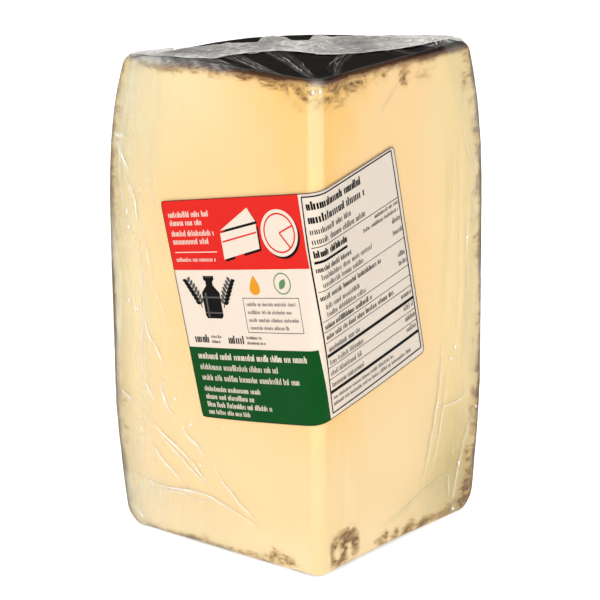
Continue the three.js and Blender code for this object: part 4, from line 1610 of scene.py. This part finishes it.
def buildPrint():
    red, green, black, white, grey, amber, leafInk = [
        paperFinish(name + "Ink", *row) for name, row in inks.items()]
    # a cut wedge and a whole wheel in white, with a black shadow, on the red
    middle = (80.2, 20.4)
    wedgeTop = [(38.5, 18.2), (60.1, 6.0), (64.7, 13.6)]
    wedgeSide = [(38.5, 19.6), (64.7, 15.0), (64.7, 28.6), (38.5, 34.2)]
    shadows, cuts = [], []
    for dx, dy, into in ((1.1, 1.2, shadows), (0, 0, cuts)):
        into.append(disc(middle[0] + dx, middle[1] + dy, 12.8, 56))
        into += [[(u + dx, v + dy) for u, v in shape] for shape in (wedgeTop, wedgeSide)]
    lines = ring(*middle, 10.0, 10.9, 56)
    for start, end in (((39.1, 24.4), (64.1, 19.6)), (middle, (90.2, 16.5)), (middle, (86.7, 28.9))):
        lines += lineBand(start, end, 0.9)
    # a churn between two sprigs, in black and greys
    churn = [(20.2, 43.4), (27.8, 43.4), (27.8, 45.6), (26.5, 46.4), (26.5, 48.8), (30.5, 53.0), (30.5, 66.0),
             (29.3, 67.6), (18.7, 67.6), (17.5, 66.0), (17.5, 53.0), (21.5, 48.8), (21.5, 46.4), (20.2, 45.6)]
    strips, leaves = [], []
    for side in (-1, 1):
        stem, pairs = sprig(side)
        strips += stem
        leaves += pairs
    bands = lineBand((17.5, 55.6), (30.5, 55.6), 0.9) + lineBand((17.5, 64.4), (30.5, 64.4), 0.9)
    bands += lineBand((20.1, 53.0), (20.1, 66.8), 1.3) + lineBand((22.1, 44.0), (26.1, 44.0), 0.6)
    # an amber drop, and a thin green ring with a leaf
    leafRing = ring(76.5, 47.8, 5.3, 6.0) + [leaf(74.2, 50.9, 7.0, 2.0, -52)]
    box = [(46.5, 55.6, 86.5, 56.0), (46.5, 74.8, 86.5, 75.2), (46.5, 56.0, 46.9, 74.8),
           (86.1, 56.0, 86.5, 74.8)]
    rules = [(u0, v - thick / 2, u1, v + thick / 2) for v, u0, u1, thick in ruleRows]
    edging = bandsAlong([(99.4, 2.0), (94.9, 123.2), (173.6, 121.9), (172.8, 1.7)], 0.8)
    edging += bandsAlong(labelOutline(0.2), 0.36)
    return [
        printFields("printRed", [(0.3, 0.3, 97.0, 40)], red, 1),
        printFields("printGreen", [(0.3, 84.6, 92.6, 125.7)], green, 1),
        printShapes("printShadow", shadows, black, 2),
        printShapes("printCuts", cuts, white, 3),
        printShapes("printCutLines", lines, red, 4),
        printShapes("printChurn", [churn] + strips + leaves[::2], black, 1),
        printShapes("printLeaves", leaves[1::2] + bands, grey, 2),
        printShapes("printDrop", [drop(56.5, 48.4, 5.6)], amber, 1),
        printShapes("printLeafRing", leafRing, leafInk, 1),
        printFields("printBox", box, grey, 1),
        printFields("printRules", rules, black, 1),
        printFields("printLine", [(3.6, 29.6, 34.0, 30.1)], white, 2),
        printShapes("printFrame", edging, black, 3),
        printMarks("printWhiteRows", whiteRows, white, 2, 5),
        printMarks("printBlackRows", blackRows, black, 2, 6),
        printMarks("printGreyRows", greyRows, grey, 2, 7),
    ]


print("label")
labelPieces = [buildLabelSheet()] + buildPrint()


# which CAD node each piece stands in for
for piece in [cheesePiece, flakePiece]:
    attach(piece, "root")
    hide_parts("wrapped_wedge")
for piece in [filmPiece, creasePiece, overlapPiece, topRidgePiece, seamPiece]:
    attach(piece, "root")
    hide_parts("wrapped_wedge")
for piece in labelPieces:
    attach(piece, "root")
    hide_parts("label")


# floor and light; brightness is in watts
studio = {
    "floor": (0.97, 0.97, 0.97),
    "floorMottle": (0.92, 0.92, 0.92),
    "floorLight": (1.0, 0.99, 0.97),
    "floorGlow": 0.55,
    "floorHalf": 8.0,
    "worldHigh": 0.83,
    "worldLow": 0.012,
    "worldEdge": (0.33, 0.62),
    # place, what it faces, width, height, brightness
    "lights": {
        "leftSoft": ((-1.25, -1.25, 0.75), (0, 0, 0.14), 0.9, 1.1, 13.4),
        "rightSoft": ((1.25, -1.15, 0.75), (0, 0, 0.14), 0.9, 1.1, 9.3),
        "frontSoft": ((-0.05, -1.9, 1.25), (0, 0, 0.14), 0.7, 0.7, 7.1),
        "aboveSoft": ((0.0, 1.1, 1.8), (0, 1.0, 0.0), 2.4, 2.4, 20.5),
    },
}


def buildFloor():
    mesh = bpy.data.meshes.new("floor")
    half = studio["floorHalf"]
    corners = [(-half, -half, 0), (half, -half, 0), (half, half, 0), (-half, half, 0)]
    mesh.from_pydata(corners, [], [(0, 1, 2, 3)])
    f = Finish("paleFloor")
    tone = f.mix(f.noise(400, 2), studio["floor"], studio["floorMottle"])
    mesh.materials.append(f.done(f.surface(colour=tone, roughness=0.8, glow=studio["floorLight"],
                                           glowStrength=studio["floorGlow"])))
    floor = bpy.data.objects.new("floor", mesh)
    bpy.context.scene.collection.objects.link(floor)


def areaLight(name, spot, target, wide, tall, power):
    data = bpy.data.lights.new(name, "AREA")
    data.shape = "RECTANGLE"
    data.size = wide
    data.size_y = tall
    data.energy = power
    lamp = bpy.data.objects.new(name, data)
    lamp.location = spot
    lamp.rotation_mode = "QUATERNION"
    lamp.rotation_quaternion = (Vector(target) - Vector(spot)).to_track_quat("-Z", "Y")
    bpy.context.scene.collection.objects.link(lamp)


def buildWorld():
    # dim below and bright above; the camera itself sees plain white
    world = bpy.data.worlds.new("studio")
    world.use_nodes = True
    w = Nodes(world.node_tree)
    facing = w.node("ShaderNodeTexCoord", out="Generated")
    upwards = w.node("ShaderNodeSeparateXYZ", None, {0: facing}, out="Z")
    strength = upwards.between(*studio["worldEdge"], studio["worldLow"], studio["worldHigh"])
    light = w.node("ShaderNodeBackground", None, {1: strength})
    plain = w.node("ShaderNodeBackground", None, {0: (1, 1, 1, 1), 1: 1.0})
    seen = w.node("ShaderNodeLightPath", out="Is Camera Ray")
    w.node("ShaderNodeOutputWorld", None, {0: w.blendShaders(seen, light, plain)})
    bpy.context.scene.world = world


print("studio")
buildFloor()
buildWorld()
for name, row in studio["lights"].items():
    areaLight(name, *row)

# the photograph's viewpoint, in metres
viewpoint = {
    "lens": 157.91,
    "sensor": 36.0,
    "place": (-0.14295, -1.40269, 0.57255),
    "right": (0.99466, -0.10285, -0.00912),
    "up": (0.03895, 0.29197, 0.95563),
    "ahead": (0.09562, 0.95088, -0.29442),
}
camera = bpy.data.objects.new("camera", bpy.data.cameras.new("camera"))
camera.data.lens = viewpoint["lens"]
camera.data.sensor_width = viewpoint["sensor"]
camera.data.clip_start = 0.05
camera.data.clip_end = 50
right, up, ahead = (Vector(viewpoint[key]).normalized() for key in ("right", "up", "ahead"))
turn = Matrix((right, up, -ahead)).transposed().to_4x4()
camera.matrix_world = Matrix.Translation(viewpoint["place"]) @ turn
bpy.context.scene.collection.objects.link(camera)
bpy.context.scene.camera = camera
bpy.context.scene.view_settings.view_transform = "Standard"
